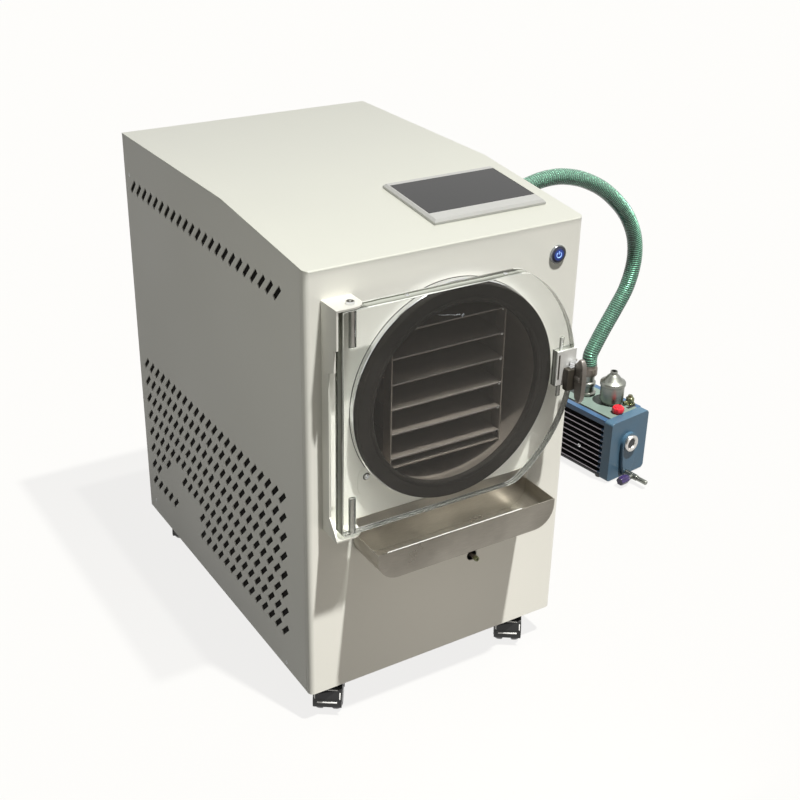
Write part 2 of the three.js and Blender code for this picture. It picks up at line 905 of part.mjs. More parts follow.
// Square duct ring whose four spokes carry the motor and its shaft.
function fanShroud() {
  const half = fanOpening + 9;
  const ring = prism('x', rectangle(-half, half, -half, half), 0, shroudDepth,
    [circle(0, 0, fanOpening, 32)]);
  const spokeLow = shroudDepth - fanSpoke;
  const reach = fanOpening + 4;
  return join(
    ring,
    box(spokeLow, shroudDepth, -reach, reach, -5, 5),
    box(spokeLow, shroudDepth, -5, 5, -reach, reach),
    cylinder('x', 0, 0, fanMotorDiameter / 2, spokeLow, spokeLow + fanMotorLength, 20),
    cylinder('x', 0, 0, fanShaftRadius, 4, shroudDepth, 12),
  );
}

// Hub with pitched blades, running on the motor shaft.
function fanRotor() {
  const length = shroudDepth - fanSpoke - 4;
  const pitch = degrees(28);
  const bladeWidth = (length - 2) / Math.sin(pitch);
  const bladeLength = fanDiameter / 2 - fanHub / 2;
  const blades = [];
  for (let i = 0; i < fanBlades; i += 1) {
    const blade = new THREE.BoxGeometry(2, bladeWidth, bladeLength);
    blade.rotateZ(pitch);
    blade.translate(length / 2, 0, fanHub / 2 - 2 + bladeLength / 2);
    blade.rotateX((2 * Math.PI * i) / fanBlades);
    blades.push(blade);
  }
  const hub = cylinder('x', 0, 0, fanHub / 2, 0, length, 20);
  const bore = cylinder('x', 0, 0, fanShaftRadius + fitGap, 2, length + 1, 12);
  return cut(join(hub, ...blades), bore);
}

place('condenser', condenser(), aluminium);
const shroudMesh = place('fan_shroud', fanShroud(), blackPlastic);
shroudMesh.position.set(shroudLeft, fanY, condenserBottom + fanOpening + 9);
const rotorMesh = place('fan_rotor', fanRotor(), blackPlastic);
rotorMesh.position.set(shroudLeft + 2, fanY, condenserBottom + fanOpening + 9);

function dischargePipe() {
  const startZ = panTop + compressorHeight + 2 * fitGap;
  const endX = condenserX + condenserThickness / 2;
  const endZ = condenserTop + 10 + fitGap;
  return swept([
    [compressorX, compressorY, startZ],
    [compressorX, compressorY, startZ + pipeRise],
    [compressorX - pipeLead, compressorY, endZ + pipeArch],
    [(compressorX + endX) / 2, (compressorY + fanY) / 2, endZ + pipeArch],
    [endX + pipeLead, fanY, endZ + pipeArch],
    [endX, fanY, endZ + pipeRise],
    [endX, fanY, endZ],
  ], circle(0, 0, refrigerantTube / 2, 6), 18);
}

place('discharge_pipe', dischargePipe(), copper);

const controlTop = coverUnderside(cabinetDepth) - controlBoxDrop;
place('control_box', box(
  controlBoxX - controlBoxWidth / 2, controlBoxX + controlBoxWidth / 2,
  shellRear - controlBoxDepth, shellRear,
  controlTop - controlBoxHeight, controlTop,
), greyPlastic);

// Appliance inlet: body through the rear panel, flange outside, open socket.
function mainsInlet() {
  const halfW = inletWidth / 2;
  const halfH = inletHeight / 2;
  const face = cabinetDepth + fitGap;
  const body = box(-halfW, halfW, face - 22, face + 1, -halfH, halfH);
  const flange = box(-halfW - inletFlange, halfW + inletFlange, face, face + 3,
    -halfH - inletFlange, halfH + inletFlange);
  const socket = box(-halfW + 3, halfW - 3, face - 12, face + 4, -halfH + 3, halfH - 3);
  return cut(join(body, flange), socket);
}

const inletMesh = place('mains_inlet', mainsInlet(), blackPlastic);
inletMesh.position.set(inletX, 0, baseZ + inletRise);

// ---------------------------------------------------------------------------
// Touch screen and power button
// ---------------------------------------------------------------------------

const slopeGroup = subGroup(0, slopeRun, topZ);
slopeGroup.rotation.x = slopeAngle;

const bezelRight = halfWidth - bezelRightMargin;
const glassRight = bezelRight - glassRightInset;
const glassRear = -bezelSetback - glassRearInset;

// Frame with bevelled edges and a pocket for the glass.
function screenBezel() {
  const corners = (inset, z) => [
    [bezelRight - bezelWidth + inset, -bezelSetback - bezelLength + inset, z],
    [bezelRight - inset, -bezelSetback - bezelLength + inset, z],
    [bezelRight - inset, -bezelSetback - inset, z],
    [bezelRight - bezelWidth + inset, -bezelSetback - inset, z],
  ];
  const low = corners(0, fitGap);
  const rim = corners(0, bezelHeight - bezelBevel);
  const top = corners(bezelBevel, bezelHeight);
  const rings = [low, rim, top];
  const geometry = new THREE.BufferGeometry();
  geometry.setAttribute('position', new THREE.Float32BufferAttribute(rings.flat(2), 3));
  const faces = [0, 2, 1, 0, 3, 2, 8, 9, 10, 8, 10, 11];
  for (const start of [0, 4]) {
    for (let i = 0; i < 4; i += 1) {
      const next = (i + 1) % 4;
      faces.push(start + i, start + next, start + next + 4);
      faces.push(start + i, start + next + 4, start + i + 4);
    }
  }
  geometry.setIndex(faces);
  const pocket = box(
    glassRight - glassWidth - fitGap, glassRight + fitGap,
    glassRear - glassLength - fitGap, glassRear + fitGap,
    bezelHeight - glassThickness - fitGap, bezelHeight + 1,
  );
  return cut(geometry, pocket);
}

place('screen_bezel', screenBezel(), greyPlastic, slopeGroup);
place('screen_glass', box(
  glassRight - glassWidth, glassRight,
  glassRear - glassLength, glassRear,
  bezelHeight - glassThickness, bezelHeight,
), darkGlass, slopeGroup);

const buttonGroup = subGroup(buttonX, 0, frontTopZ - buttonDrop);
const buttonBore = buttonCap / 2 + fitGap;

// Cup that passes through the panel and stops on its front flange.
function buttonRing() {
  const front = -buttonFlangeThickness - fitGap;
  const wall = buttonBore + buttonWall;
  return turned('y', [
    [buttonBore, front],
    [buttonFlange / 2 - 1, front],
    [buttonFlange / 2, front + 1.5],
    [buttonFlange / 2, -fitGap],
    [wall, -fitGap],
    [wall, buttonDepth + buttonWall],
    [0, buttonDepth + buttonWall],
    [0, buttonDepth],
    [buttonBore, buttonDepth],
  ], 24);
}

function buttonCapPiece() {
  const front = -buttonFlangeThickness - fitGap - buttonStand;
  const back = buttonDepth - buttonTravel - 1;
  return turned('y', [
    [0, front],
    [buttonCap / 2 - 1, front],
    [buttonCap / 2, front + 1],
    [buttonCap / 2, back],
    [0, back],
  ], 24);
}

place('button_ring', buttonRing(), chrome, buttonGroup);
place('button_cap', buttonCapPiece(), blueLamp, buttonGroup);

// ---------------------------------------------------------------------------
// Drip tray
// ---------------------------------------------------------------------------

// Trough with rounded lower corners, flat end sheets front and back. The back
// sheet rises behind the door's lower edge.
function dripTray() {
  const rim = axisZ - trayRimDrop;
  const bottom = rim - trayWallHeight;
  const back = -fitGap;
  const innerRound = trayRound - traySheet;
  const outline = (inset, top, round) => roundedRectangle(
    trayLeft + inset, trayRight - inset, bottom + inset, top, [round, round, 0.01, 0.01], 7,
  );
  return cut(
    join(
      prism('y', outline(0, rim, trayRound), -trayDepth, back),
      prism('y', outline(0, rim + trayBackRise, trayRound), back - traySheet, back),
    ),
    prism('y', outline(traySheet, rim + 1, innerRound), traySheet - trayDepth, back - traySheet),
  );
}

place('drip_tray', dripTray(), stainless);

// ---------------------------------------------------------------------------
// Door, hinge and latch, all placed from the chamber axis
// ---------------------------------------------------------------------------

const frontGroup = subGroup(0, 0, axisZ);
const earTopLow = doorHalfHeight + topEarGap;
const earTopHigh = earTopLow + hingeSheet;
const earBottomHigh = -doorHalfHeight - bottomEarGap;
const earBottomLow = earBottomHigh - hingeSheet;
const boreDepth = bushLength + fitGap;

// Clear plate: straight left edge, right edge an arc about the chamber axis, a
// notch for the latch and blind bores for the hinge bushes.
function doorPanel() {
  const filletZ = doorHalfHeight - doorFillet;
  const filletX = Math.sqrt((doorArcRadius - doorFillet) ** 2 - filletZ ** 2);
  const tangent = THREE.MathUtils.radToDeg(Math.atan2(filletZ, filletX));
  const arcAngle = (z) => THREE.MathUtils.radToDeg(Math.asin(z / doorArcRadius));
  const outline = [
    [doorLeft, -doorHalfHeight],
    ...arc(filletX, -filletZ, doorFillet, -90, -tangent, 5),
    ...arc(0, 0, doorArcRadius, -tangent, arcAngle(notchBottom), 10).slice(1),
    [notchLeft, notchBottom],
    [notchLeft, notchTop],
    ...arc(0, 0, doorArcRadius, arcAngle(notchTop), tangent, 9),
    ...arc(filletX, filletZ, doorFillet, tangent, 90, 5).slice(1),
    [doorLeft, doorHalfHeight],
  ];
  const bushBore = bushRadius + fitGap;
  const boltBore = latchBoltRadius + fitGap;
  const plate = prism('y', outline, doorFrontY, doorBackY);
  return cut(
    plate,
    cylinder('z', hingeX, hingeY, bushBore, doorHalfHeight - boreDepth, doorHalfHeight + 1),
    cylinder('z', hingeX, hingeY, bushBore, -doorHalfHeight - 1, boreDepth - doorHalfHeight),
    cylinder('z', latchBoltX, doorMidY, boltBore, notchTop - 1, notchTop + latchBoltReach + 1, 12),
    cylinder('z', latchBoltX, doorMidY, boltBore, notchBottom - latchBoltReach - 1, notchBottom + 1, 12),
  );
}

// Collared bush pressed into the door's edge: bore for the pin, open at both
// ends. The direction is +1 for the top one and -1 for the bottom one.
function hingeBush(direction, collarHeight) {
  const outer = doorHalfHeight + collarHeight;
  const inner = doorHalfHeight - bushLength;
  const collarLow = doorHalfHeight + fitGap;
  const bore = pinRadius + fitGap;
  const profile = [
    [bore, inner],
    [bushRadius, inner],
    [bushRadius, collarLow],
    [bushRadius + bushCollar, collarLow],
    [bushRadius + bushCollar, outer],
    [bore, outer],
  ];
  const geometry = turned('z', profile.map(([r, z]) => [r, direction * z]), pinSides);
  return geometry.translate(hingeX, hingeY, 0);
}

function hingePin(direction, earOuter) {
  const seat = earOuter + fitGap;
  const tip = doorHalfHeight - pinLength;
  const profile = [
    [0, tip],
    [pinRadius, tip],
    [pinRadius, seat],
    [pinHeadRadius, seat],
    [pinHeadRadius, seat + pinHeadHeight - 1],
    [pinHeadRadius - 1, seat + pinHeadHeight],
    [0, seat + pinHeadHeight],
  ];
  const geometry = turned('z', profile.map(([r, z]) => [r, direction * z]), pinSides);
  return geometry.translate(hingeX, hingeY, 0);
}

// Folded bracket: a web square to the panel, deep at both ends and narrow
// between them, with an ear over and under the door and a fixing flange.
function hingeBracket() {
  const webRight = hingeX - hingeWebGap;
  const webLeft = webRight - hingeSheet;
  const earRight = hingeX + hingeEarReach;
  const back = -fitGap;
  const side = [
    [back, earTopHigh],
    [-hingeArmDepth, earTopHigh],
    [-hingeArmDepth, earTopHigh - hingeArmLength],
    [-hingeStepDepth, earTopHigh - hingeArmLength - 2],
    [-hingeStepDepth, earTopHigh - hingeArmLength - hingeStepLength],
    [-hingeSpineDepth, earTopHigh - hingeArmLength - hingeStepLength - 6],
    [-hingeSpineDepth, earBottomLow + 34],
    [-hingeStepDepth, earBottomLow + 14],
    [-hingeArmDepth, earBottomLow],
    [back, earBottomLow],
  ];
  const ear = [
    [webLeft, back],
    [webLeft, -hingeArmDepth],
    ...arc(earRight - hingeEarRound, -hingeArmDepth + hingeEarRound, hingeEarRound, 270, 360, 5),
    [earRight, back],
  ];
  const pinHole = [circle(hingeX, hingeY, pinRadius + fitGap, pinSides)];
  const flangeTop = earTopLow - hingeArmLength / 2;
  return join(
    prism('x', side, webLeft, webRight),
    prism('z', ear, earTopLow, earTopHigh, pinHole),
    prism('z', ear, earBottomLow, earBottomHigh, pinHole),
    box(webLeft, webRight + hingeFlange, back - sheet, back, -flangeTop, flangeTop),
  );
}

place('hinge_bracket', hingeBracket(), whitePaint, frontGroup);
place('hinge_pin_top', hingePin(1, earTopHigh), chrome, frontGroup);
place('hinge_pin_bottom', hingePin(-1, -earBottomLow), chrome, frontGroup);
place('door_panel', doorPanel(), clearAcrylic, frontGroup);
place('hinge_bush_top', hingeBush(1, topEarGap - fitGap), stainless, frontGroup);
place('hinge_bush_bottom', hingeBush(-1, bottomEarGap - fitGap), stainless, frontGroup);

const housingFaceY = doorFrontY - housingFront;
const camFrontY = doorBackY + camThickness;
const camBackY = camFrontY + camThickness;

// Block in the door's notch with a raised front, a rear boss for the spindle
// and two bolts that run up and down into the door's edge bores.
function latchHousing() {
  const notchBlock = box(
    notchLeft + fitGap, housingRight, doorFrontY, doorBackY,
    notchBottom + fitGap, notchTop - fitGap,
  );
  const boltLow = notchBottom - latchBoltReach;
  const boltHigh = notchTop + latchBoltReach;
  return cut(
    join(
      notchBlock,
      box(housingLeft, housingRight, housingFaceY, doorFrontY - fitGap, housingBottom, housingTop),
      box(housingLeft, housingRight, doorFrontY - 1, doorFrontY + 1, notchBottom + 1, housingTop),
      cylinder('y', spindleX, spindleRise, camHub, doorBackY - 1, camFrontY - fitGap, 20),
      cylinder('z', latchBoltX, doorMidY, latchBoltRadius, boltLow, boltHigh, 12),
    ),
    cylinder('y', spindleX, spindleRise, spindleRadius + runningGap, housingFaceY - 1, camFrontY + 1),
  );
}

// Paddle square to the door with the spindle through the housing.
function latchHandle() {
  const inner = housingFaceY - 2 * fitGap;
  const outer = inner - handleReach;
  const top = spindleRise + handleRise;
  const bottom = spindleRise - handleDrop;
  const paddle = [
    [inner, top - 4],
    [inner - 4, top],
    [outer + 1, top + 1],
    [outer, spindleRise + 4],
    [outer + 3, spindleRise - 20],
    [outer + 8, bottom + 9],
    [inner - 5, bottom + 1],
    [inner, bottom],
  ];
  const left = spindleX - handleSheet / 2;
  return join(
    prism('x', paddle, left, left + handleSheet),
    cylinder('y', spindleX, spindleRise, spindleRadius + 2.5, inner - 6, inner, 20),
    cylinder('y', spindleX, spindleRise, spindleRadius, inner - 4, camBackY + 1, 20),
  );
}

// Finger on the spindle's rear end. It hangs down when the door is free.
function latchCam() {
  const half = spindleRadius;
  const hub = arc(spindleX, spindleRise, camHub, -30, 210, 12);
  const outline = [
    ...hub,
    [spindleX - half, spindleRise - camReach],
    [spindleX + half, spindleRise - camReach],
  ];
  const bore = circle(spindleX, spindleRise, spindleRadius + fitGap, 20);
  return prism('y', outline, camFrontY, camBackY, [bore]);
}

// Angle on the front panel whose lip the turned finger passes behind.
function latchKeeper() {
  const riserLeft = spindleX + Math.hypot(camReach, spindleRadius) + 1.5;
  const riserRight = riserLeft + keeperSheet;
  const lipBack = camFrontY - keeperGap;
  const low = spindleRise - keeperHeight / 2;
  const high = spindleRise + keeperHeight / 2;
  const left = riserRight - keeperLip;
  return join(
    box(left, riserRight, -sheet - fitGap, -fitGap, low, high),
    box(riserLeft, riserRight, lipBack - keeperSheet, -fitGap, low, high),
    box(left, riserRight, lipBack - keeperSheet, lipBack, low, high),
  );
}

place('latch_housing', latchHousing(), aluminium, frontGroup);
place('latch_handle', latchHandle(), darkSteel, frontGroup);
place('latch_cam', latchCam(), stainless, frontGroup);
place('latch_keeper', latchKeeper(), stainless, frontGroup);

// ---------------------------------------------------------------------------
// Vacuum port and hose
// ---------------------------------------------------------------------------

// Bent pipe from the chamber's rear wall to the right side panel, with a
// fixing flange outside and a spigot for the hose.
function vacuumPort() {
  const start = chamberRear + fitGap;
  const run = portY - portBend;
  const points = [
    [0, start, axisZ],
    [0, (start + run) / 2, axisZ],
    ...arc(portBend, run, portBend, 180, 90, 6).map(([x, y]) => [x, y, axisZ]),
    [portBend + portRun, portY, axisZ],
    [halfWidth / 2 + portBend, portY, axisZ],
    [halfWidth + portReach, portY, axisZ],
  ];
  const outer = circle(0, 0, portPipe / 2, 12);
  const pipe = swept(points, outer, 14, [circle(0, 0, portBore / 2, 12)]);
  const inside = halfWidth + fitGap;
  const flange = cut(
    cylinder('x', portY, axisZ, portFlange / 2, inside, inside + portFlangeThickness, 20),
    cylinder('x', portY, axisZ, portBore / 2 + 1, inside - 1, inside + portFlangeThickness + 1, 12),
  );
  return join(pipe, flange);
}

// Route of the hose's centre line: out of the port, up over a stiff arch and
// down on to the pump's inlet spigot.
const hoseRoute = [
  [285.3, 515, 577],
  [308, 515, 577],
  [345, 515, 586],
  [390, 515, 606],
  [440, 515, 636],
  [495, 515, 665],
  [553, 515, 682],
  [599, 515, 686],
  [640, 515, 681],
  [685, 515, 667],
  [738, 515, 639],
  [788, 515, 597],
  [821, 515, 556],
  [843, 515, 508],
  [848, 515, 454],
  [834, 515, 396],
  [805, 515, 346],
  [778, 515, 304],
  [757, 515, 268],
  [747, 515, 247],
  [747, 515, 225.6],
];

place('vacuum_port', vacuumPort(), stainless);
place('vacuum_hose', swept(hoseRoute, circle(0, 0, hoseDiameter / 2, hoseSides), hoseSteps), greenHose);

// ---------------------------------------------------------------------------
// Vacuum pump
// ---------------------------------------------------------------------------

const pumpGroup = subGroup(pumpX, pumpY, 0);
pumpGroup.rotation.z = degrees(pumpTurn);

const pumpHalf = pumpWidth / 2;
const caseFrontY = pumpCoverDepth + fitGap;
const caseRearY = caseFrontY + pumpCaseLength;
const pumpTopSeat = pumpHeight + fitGap;

// Finned oil case. Its section is the same all the way back.
function pumpCase() {
  const core = pumpHalf - pumpFinDepth;
  const blockLow = pumpHeight - pumpTopBlock;
  const finStart = pumpFoot + pumpBottomBlock + 5;
  const right = [[pumpHalf, pumpFoot], [pumpHalf, pumpFoot + pumpBottomBlock]];
  right.push([core, pumpFoot + pumpBottomBlock]);
  for (let i = 0; i < pumpFins; i += 1) {
    const low = finStart + i * pumpFinPitch;
    const high = low + pumpFinThickness;
    right.push([core, low], [pumpHalf, low], [pumpHalf, high], [core, high]);
  }
  right.push([core, blockLow], [pumpHalf, blockLow], [pumpHalf, pumpHeight]);
  const left = right.map(([x, z]) => [-x, z]).reverse();
  const grooveLeft = -pumpHalf + pumpRail;
  const grooveRight = grooveLeft + pumpGroove;
  const grooveFloor = pumpHeight - pumpGrooveDepth;
  const top = [
    [grooveRight, pumpHeight], [grooveRight, grooveFloor],
    [grooveLeft, grooveFloor], [grooveLeft, pumpHeight],
  ];
  const body = prism('y', [...right, ...top, ...left], caseFrontY, caseRearY);
  const footX = pumpHalf - pumpFootRadius - 4;
  const footYs = [caseFrontY + pumpFootRadius + 4, caseRearY - pumpFootRadius - 4];
  const feet = [-footX, footX].flatMap((x) => footYs.map((y) =>
    cylinder('z', x, y, pumpFootRadius, 0, pumpFoot + 1, 16)));
  return join(body, ...feet);
}

// Cast front cover with a raised boss from the sight glass down to the drain.
function pumpCover() {
  const plate = roundedRectangle(-pumpHalf, pumpHalf, pumpFoot, pumpHeight, [6, 6, 6, 6], 3);
  const boss = [
    ...arc(sightX, sightHeight, bossHalfWidth + 4, 0, 180, 10),
    [sightX - bossHalfWidth, valveHeight + valveRadius + 12],
    [sightX - bossHalfWidth / 2, pumpFoot + 3],
    [sightX + bossHalfWidth / 2, pumpFoot + 3],
    [sightX + bossHalfWidth, valveHeight + valveRadius + 12],
  ];
  return join(prism('y', plate, 0, pumpCoverDepth), prism('y', boss, -bossStand, 1));
}

// Threaded ring with its window set back inside.
function sightGlass() {
  const seat = -bossStand - fitGap;
  const geometry = turned('y', [
    [0, seat],
    [sightRadius, seat],
    [sightRadius, seat - sightDepth + 1],
    [sightRadius - 1, seat - sightDepth],
    [sightRadius * 0.6, seat - sightDepth],
    [sightRadius * 0.55, seat - 2],
    [0, seat - 2],
  ], 20);
  return geometry.translate(sightX, 0, sightHeight);
}

function oilCap() {
  const geometry = turned('z', [
    [0, 0],
    [oilCapRadius * 0.8, 0],
    [oilCapRadius, 4],
    [oilCapRadius, oilCapHeight - 4],
    [oilCapRadius * 0.72, oilCapHeight],
    [0, oilCapHeight],
  ], 18);
  return geometry.translate(oilCapX, oilCapY, pumpTopSeat);
}

// Exhaust oil trap: can with a lipped lid and a cone open at its top.
function exhaustCanister() {
  const shoulder = canisterHeight;
  const geometry = turned('z', [
    [0, 0],
    [canisterRadius * 0.8, 0],
    [canisterRadius * 0.8, 5],
    [canisterRadius, 7],
    [canisterRadius, shoulder - 8],
    [canisterRadius + 2, shoulder - 6],
    [canisterRadius + 2, shoulder],
    [canisterRadius - 1, shoulder + 2],
    [canisterRadius * 0.3, shoulder + canisterCone - 7],
    [canisterRadius * 0.3, shoulder + canisterCone],
    [exhaustBore, shoulder + canisterCone],
    [exhaustBore, shoulder + canisterCone - exhaustBoreDepth],
    [0, shoulder + canisterCone - exhaustBoreDepth],
  ], 22);
  return geometry.translate(canisterX, canisterY, pumpTopSeat);
}

// Turned suction fitting: base flange, neck, clamp collar and hose spigot.
function pumpInlet() {
  const height = pumpInletHeight - fitGap;
  const spigot = hoseDiameter / 2 - 3;
  const geometry = turned('z', [
    [0, 0],
    [20, 0],
    [20, 6],
    [spigot, 8],
    [spigot, 22],
    [18, 24],
    [18, 32],
    [spigot, 34],
    [spigot, height - 24],
    [hoseDiameter / 2 + 2, height - 22],
    [hoseDiameter / 2 + 2, height - 8],
    [spigot, height - 7],
    [spigot, height],
    [0, height],
  ], 18);
  return geometry.translate(pumpInletX, pumpInletY, pumpTopSeat);
}

function ballastValve() {
  const geometry = turned('z', [
    [0, 0],
    [ballastRadius * 0.75, 0],
    [ballastRadius * 0.75, 5],
    [ballastRadius, 6],
    [ballastRadius, ballastHeight - 6],
    [ballastRadius * 0.6, ballastHeight - 4],
    [ballastRadius * 0.5, ballastHeight],
    [0, ballastHeight],
  ], 12);
  return geometry.translate(ballastX, ballastY, pumpTopSeat);
}

const valveFrontY = -bossStand - fitGap;
const stemY = valveFrontY - valveLength * 0.6;
const knobStemRadius = 3;
const knobSeatX = valveX - valveRadius - 8;

// Oil drain: body forwards out of the cover, spout in front, stem to the left.
function drainValve() {
  const tip = valveFrontY - valveLength;
  return join(
    cylinder('y', valveX, valveHeight, valveRadius, tip, valveFrontY, 16),
    cylinder('y', valveX, valveHeight, spoutRadius, tip - spoutLength, tip + 1, 14),
    cylinder('x', stemY, valveHeight, valveRadius - 1, knobSeatX, valveX, 14),
    cylinder('x', stemY, valveHeight, knobStemRadius, knobSeatX - knobLength + 8, valveX, 12),
  );
}

function drainKnob() {
  const high = knobSeatX - fitGap;
  const low = high - knobLength;
  const bore = knobStemRadius + runningGap;
  const geometry = turned('x', [
    [0, low],
    [knobRadius - 2, low],
    [knobRadius, low + 3],
    [knobRadius, high - 8],
    [knobRadius - 3, high],
    [bore, high],
    [bore, knobSeatX - knobLength + 8 - fitGap],
    [0, knobSeatX - knobLength + 8 - fitGap],
  ], 12);
  return geometry.translate(0, stemY, valveHeight);
}

// Motor with its cooling cowl behind and a foot under it.
function pumpMotor() {
  const start = caseRearY + fitGap;
  const end = start + motorLength;
  const body = turned('y', [
    [0, start],
    [motorRadius - 8, start],
    [motorRadius - 8, start + 12],
    [motorRadius, start + 14],
    [motorRadius, end - 50],
    [motorRadius + 3, end - 48],
    [motorRadius + 3, end - 8],
    [motorRadius - 6, end],
    [0, end],
  ], 22).translate(0, 0, motorAxisHeight);
  const foot = box(-45, 45, start + 40, start + 130, 0, motorAxisHeight - motorRadius + 12);
  return join(body, foot);
}

place('pump_case', pumpCase(), blackPaint, pumpGroup);
place('pump_cover', pumpCover(), bluePaint, pumpGroup);
place('sight_glass', sightGlass(), chrome, pumpGroup);
place('oil_cap', oilCap(), redPlastic, pumpGroup);
place('exhaust_canister', exhaustCanister(), chrome, pumpGroup);
place('pump_inlet', pumpInlet(), chrome, pumpGroup);
place('ballast_valve', ballastValve(), brass, pumpGroup);
place('drain_valve', drainValve(), chrome, pumpGroup);
place('drain_knob', drainKnob(), purplePlastic, pumpGroup);
place('pump_motor', pumpMotor(), bluePaint, pumpGroup);

// ---------------------------------------------------------------------------
// Casters
// ---------------------------------------------------------------------------

// Fender over both wheels with a web between them, a socket and a ring stem.
// The swivel axis is at the origin and the axle in front of it.
function casterHood() {
  const axleY = -casterTrail;
  const wheelRoom = wheelRadius / Math.cos(Math.PI / wheelSides) + 1;
  const outerRadius = wheelRoom + hoodWall;
  const webHalf = wheelTrack / 2 - 0.5;
  const halfSpan = wheelTrack / 2 + wheelWidth;
  const top = casterHeight - fitGap;
  const fender = prism('x', arc(axleY, wheelRadius, outerRadius, -15, 195, 10), -halfSpan, halfSpan);
  const room = (low, high) => cylinder('x', axleY, wheelRadius, wheelRoom, low, high, wheelSides);
  const ringLow = casterHeight + sheet + runningGap;
  const shell = join(
    fender,
    cylinder('z', 0, 0, stemRadius + 6, wheelRadius, top, 12),
  );
  const stem = join(
    cylinder('z', 0, 0, stemRadius, top - 4, ringLow + 8, 10),
    cylinder('z', 0, 0, stemRadius + stemRing, ringLow, ringLow + 5, 10),
  );
  return join(
    cut(
      shell,
      room(webHalf, halfSpan + 1),
      room(-halfSpan - 1, -webHalf),
      cylinder('x', axleY, wheelRadius, axleRadius + runningGap, -halfSpan, halfSpan, 12),
    ),
    stem,
  );
}

// Two wheels on one axle, turned as one profile with a flat at the bottom.
function casterWheels() {
  const inner = wheelTrack / 2;
  const outer = inner + wheelWidth;
  const tread = wheelRadius / Math.cos(Math.PI / wheelSides);
  const half = [
    [axleRadius, inner],
    [tread - 2, inner],
    [tread, inner + 2],
    [tread, outer - 4],
    [tread - 3, outer],
    [0, outer],
  ];
  const other = half.map(([radius, x]) => [radius, -x]).reverse();
  return turned('x', [...other, ...half], wheelSides, Math.PI / wheelSides);
}

const corners = [
  [-casterX, casterYs[0]],
  [casterX, casterYs[0]],
  [-casterX, casterYs[1]],
  [casterX, casterYs[1]],
];
corners.forEach(([x, y], i) => {
  const group = subGroup(x, y, 0);
  group.rotation.z = degrees(casterTurn);
  place(`caster_${i + 1}_hood`, casterHood(), blackPlastic, group);
  const wheels = place(`caster_${i + 1}_wheels`, casterWheels(), blackPlastic, group);
  wheels.position.set(0, -casterTrail, wheelRadius);
});

// ---------------------------------------------------------------------------
// Origin: the middle of the footprint, the hose left out, at floor level
// ---------------------------------------------------------------------------

dryer.updateMatrixWorld(true);
const footprint = new THREE.Box3();
dryer.traverse((object) => {
  if (object.isMesh && object.name !== 'vacuum_hose') footprint.expandByObject(object, true);
});
const centre = footprint.getCenter(new THREE.Vector3());
dryer.position.set(-centre.x, -centre.y, -footprint.min.z);
dryer.updateMatrixWorld(true);

export default dryer;
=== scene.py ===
"""Looks of the freeze dryer: fine pieces, materials, light and camera."""

import json
import math

import bmesh
import bpy
from mathutils import Matrix, Vector

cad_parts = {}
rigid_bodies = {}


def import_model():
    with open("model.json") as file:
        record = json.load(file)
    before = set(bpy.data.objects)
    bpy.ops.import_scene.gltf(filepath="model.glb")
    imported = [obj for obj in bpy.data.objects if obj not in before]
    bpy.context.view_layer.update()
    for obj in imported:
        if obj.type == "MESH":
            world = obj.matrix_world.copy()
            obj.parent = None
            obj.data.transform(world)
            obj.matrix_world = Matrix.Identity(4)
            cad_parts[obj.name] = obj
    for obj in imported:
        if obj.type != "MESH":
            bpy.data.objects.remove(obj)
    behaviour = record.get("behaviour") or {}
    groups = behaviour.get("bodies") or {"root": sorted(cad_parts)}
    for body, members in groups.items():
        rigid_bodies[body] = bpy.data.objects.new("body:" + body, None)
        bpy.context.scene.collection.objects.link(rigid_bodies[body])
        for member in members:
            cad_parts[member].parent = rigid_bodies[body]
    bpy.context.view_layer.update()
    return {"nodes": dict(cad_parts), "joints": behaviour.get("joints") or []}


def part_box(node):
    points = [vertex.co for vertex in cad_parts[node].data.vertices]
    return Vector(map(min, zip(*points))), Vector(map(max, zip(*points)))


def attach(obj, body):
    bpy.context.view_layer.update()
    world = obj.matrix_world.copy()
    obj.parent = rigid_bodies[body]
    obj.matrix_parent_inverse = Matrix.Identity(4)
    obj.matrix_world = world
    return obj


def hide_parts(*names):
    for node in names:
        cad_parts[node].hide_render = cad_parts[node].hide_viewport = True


for leftover in list(bpy.data.objects):
    bpy.data.objects.remove(leftover)
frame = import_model()
NODES = frame["nodes"]
JOINTS = {joint["name"]: joint for joint in frame["joints"]}
scene = bpy.context.scene

MM = 0.001
FIT = 0.3  # gap in millimetres that keeps neighbours apart
MERGE_DISTANCE = 0.00001
SHARP_ANGLE = math.radians(38)
DRESS_ANGLE = math.radians(30)


def box(name):
    """Low and high corner of a CAD node, in millimetres."""
    low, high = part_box(name)
    return low / MM, high / MM


def joint_at(name):
    """A point on a joint's axis, in millimetres."""
    return Vector(JOINTS[name]["pos_m"]) / MM


# --- Shapes, in millimetres ---

# A point of a flat outline at a height along an axis
LIFT = {
    "x": lambda u, v, h: (h, u, v),
    "y": lambda u, v, h: (u, h, v),
    "z": lambda u, v, h: (u, v, h),
}


def arc(u, v, radius, start, end, steps):
    turns = [math.radians(start + (end - start) * i / steps) for i in range(steps + 1)]
    return [(u + radius * math.cos(t), v + radius * math.sin(t)) for t in turns]


def curved_strip(u, v, inner, outer, start, end, steps):
    """Outline of a strip bent about a centre."""
    return arc(u, v, outer, start, end, steps) + arc(u, v, inner, end, start, steps)


def rounded(low, high, radius, steps=5):
    """Outline of a rounded rectangle."""
    (u0, v0), (u1, v1) = low, high
    return (
        arc(u1 - radius, v0 + radius, radius, -90, 0, steps)
        + arc(u1 - radius, v1 - radius, radius, 0, 90, steps)
        + arc(u0 + radius, v1 - radius, radius, 90, 180, steps)
        + arc(u0 + radius, v0 + radius, radius, 180, 270, steps)
    )


def rod(radius, low, high):
    """Profile of a plain rod."""
    return [(0, low), (radius, low), (radius, high), (0, high)]


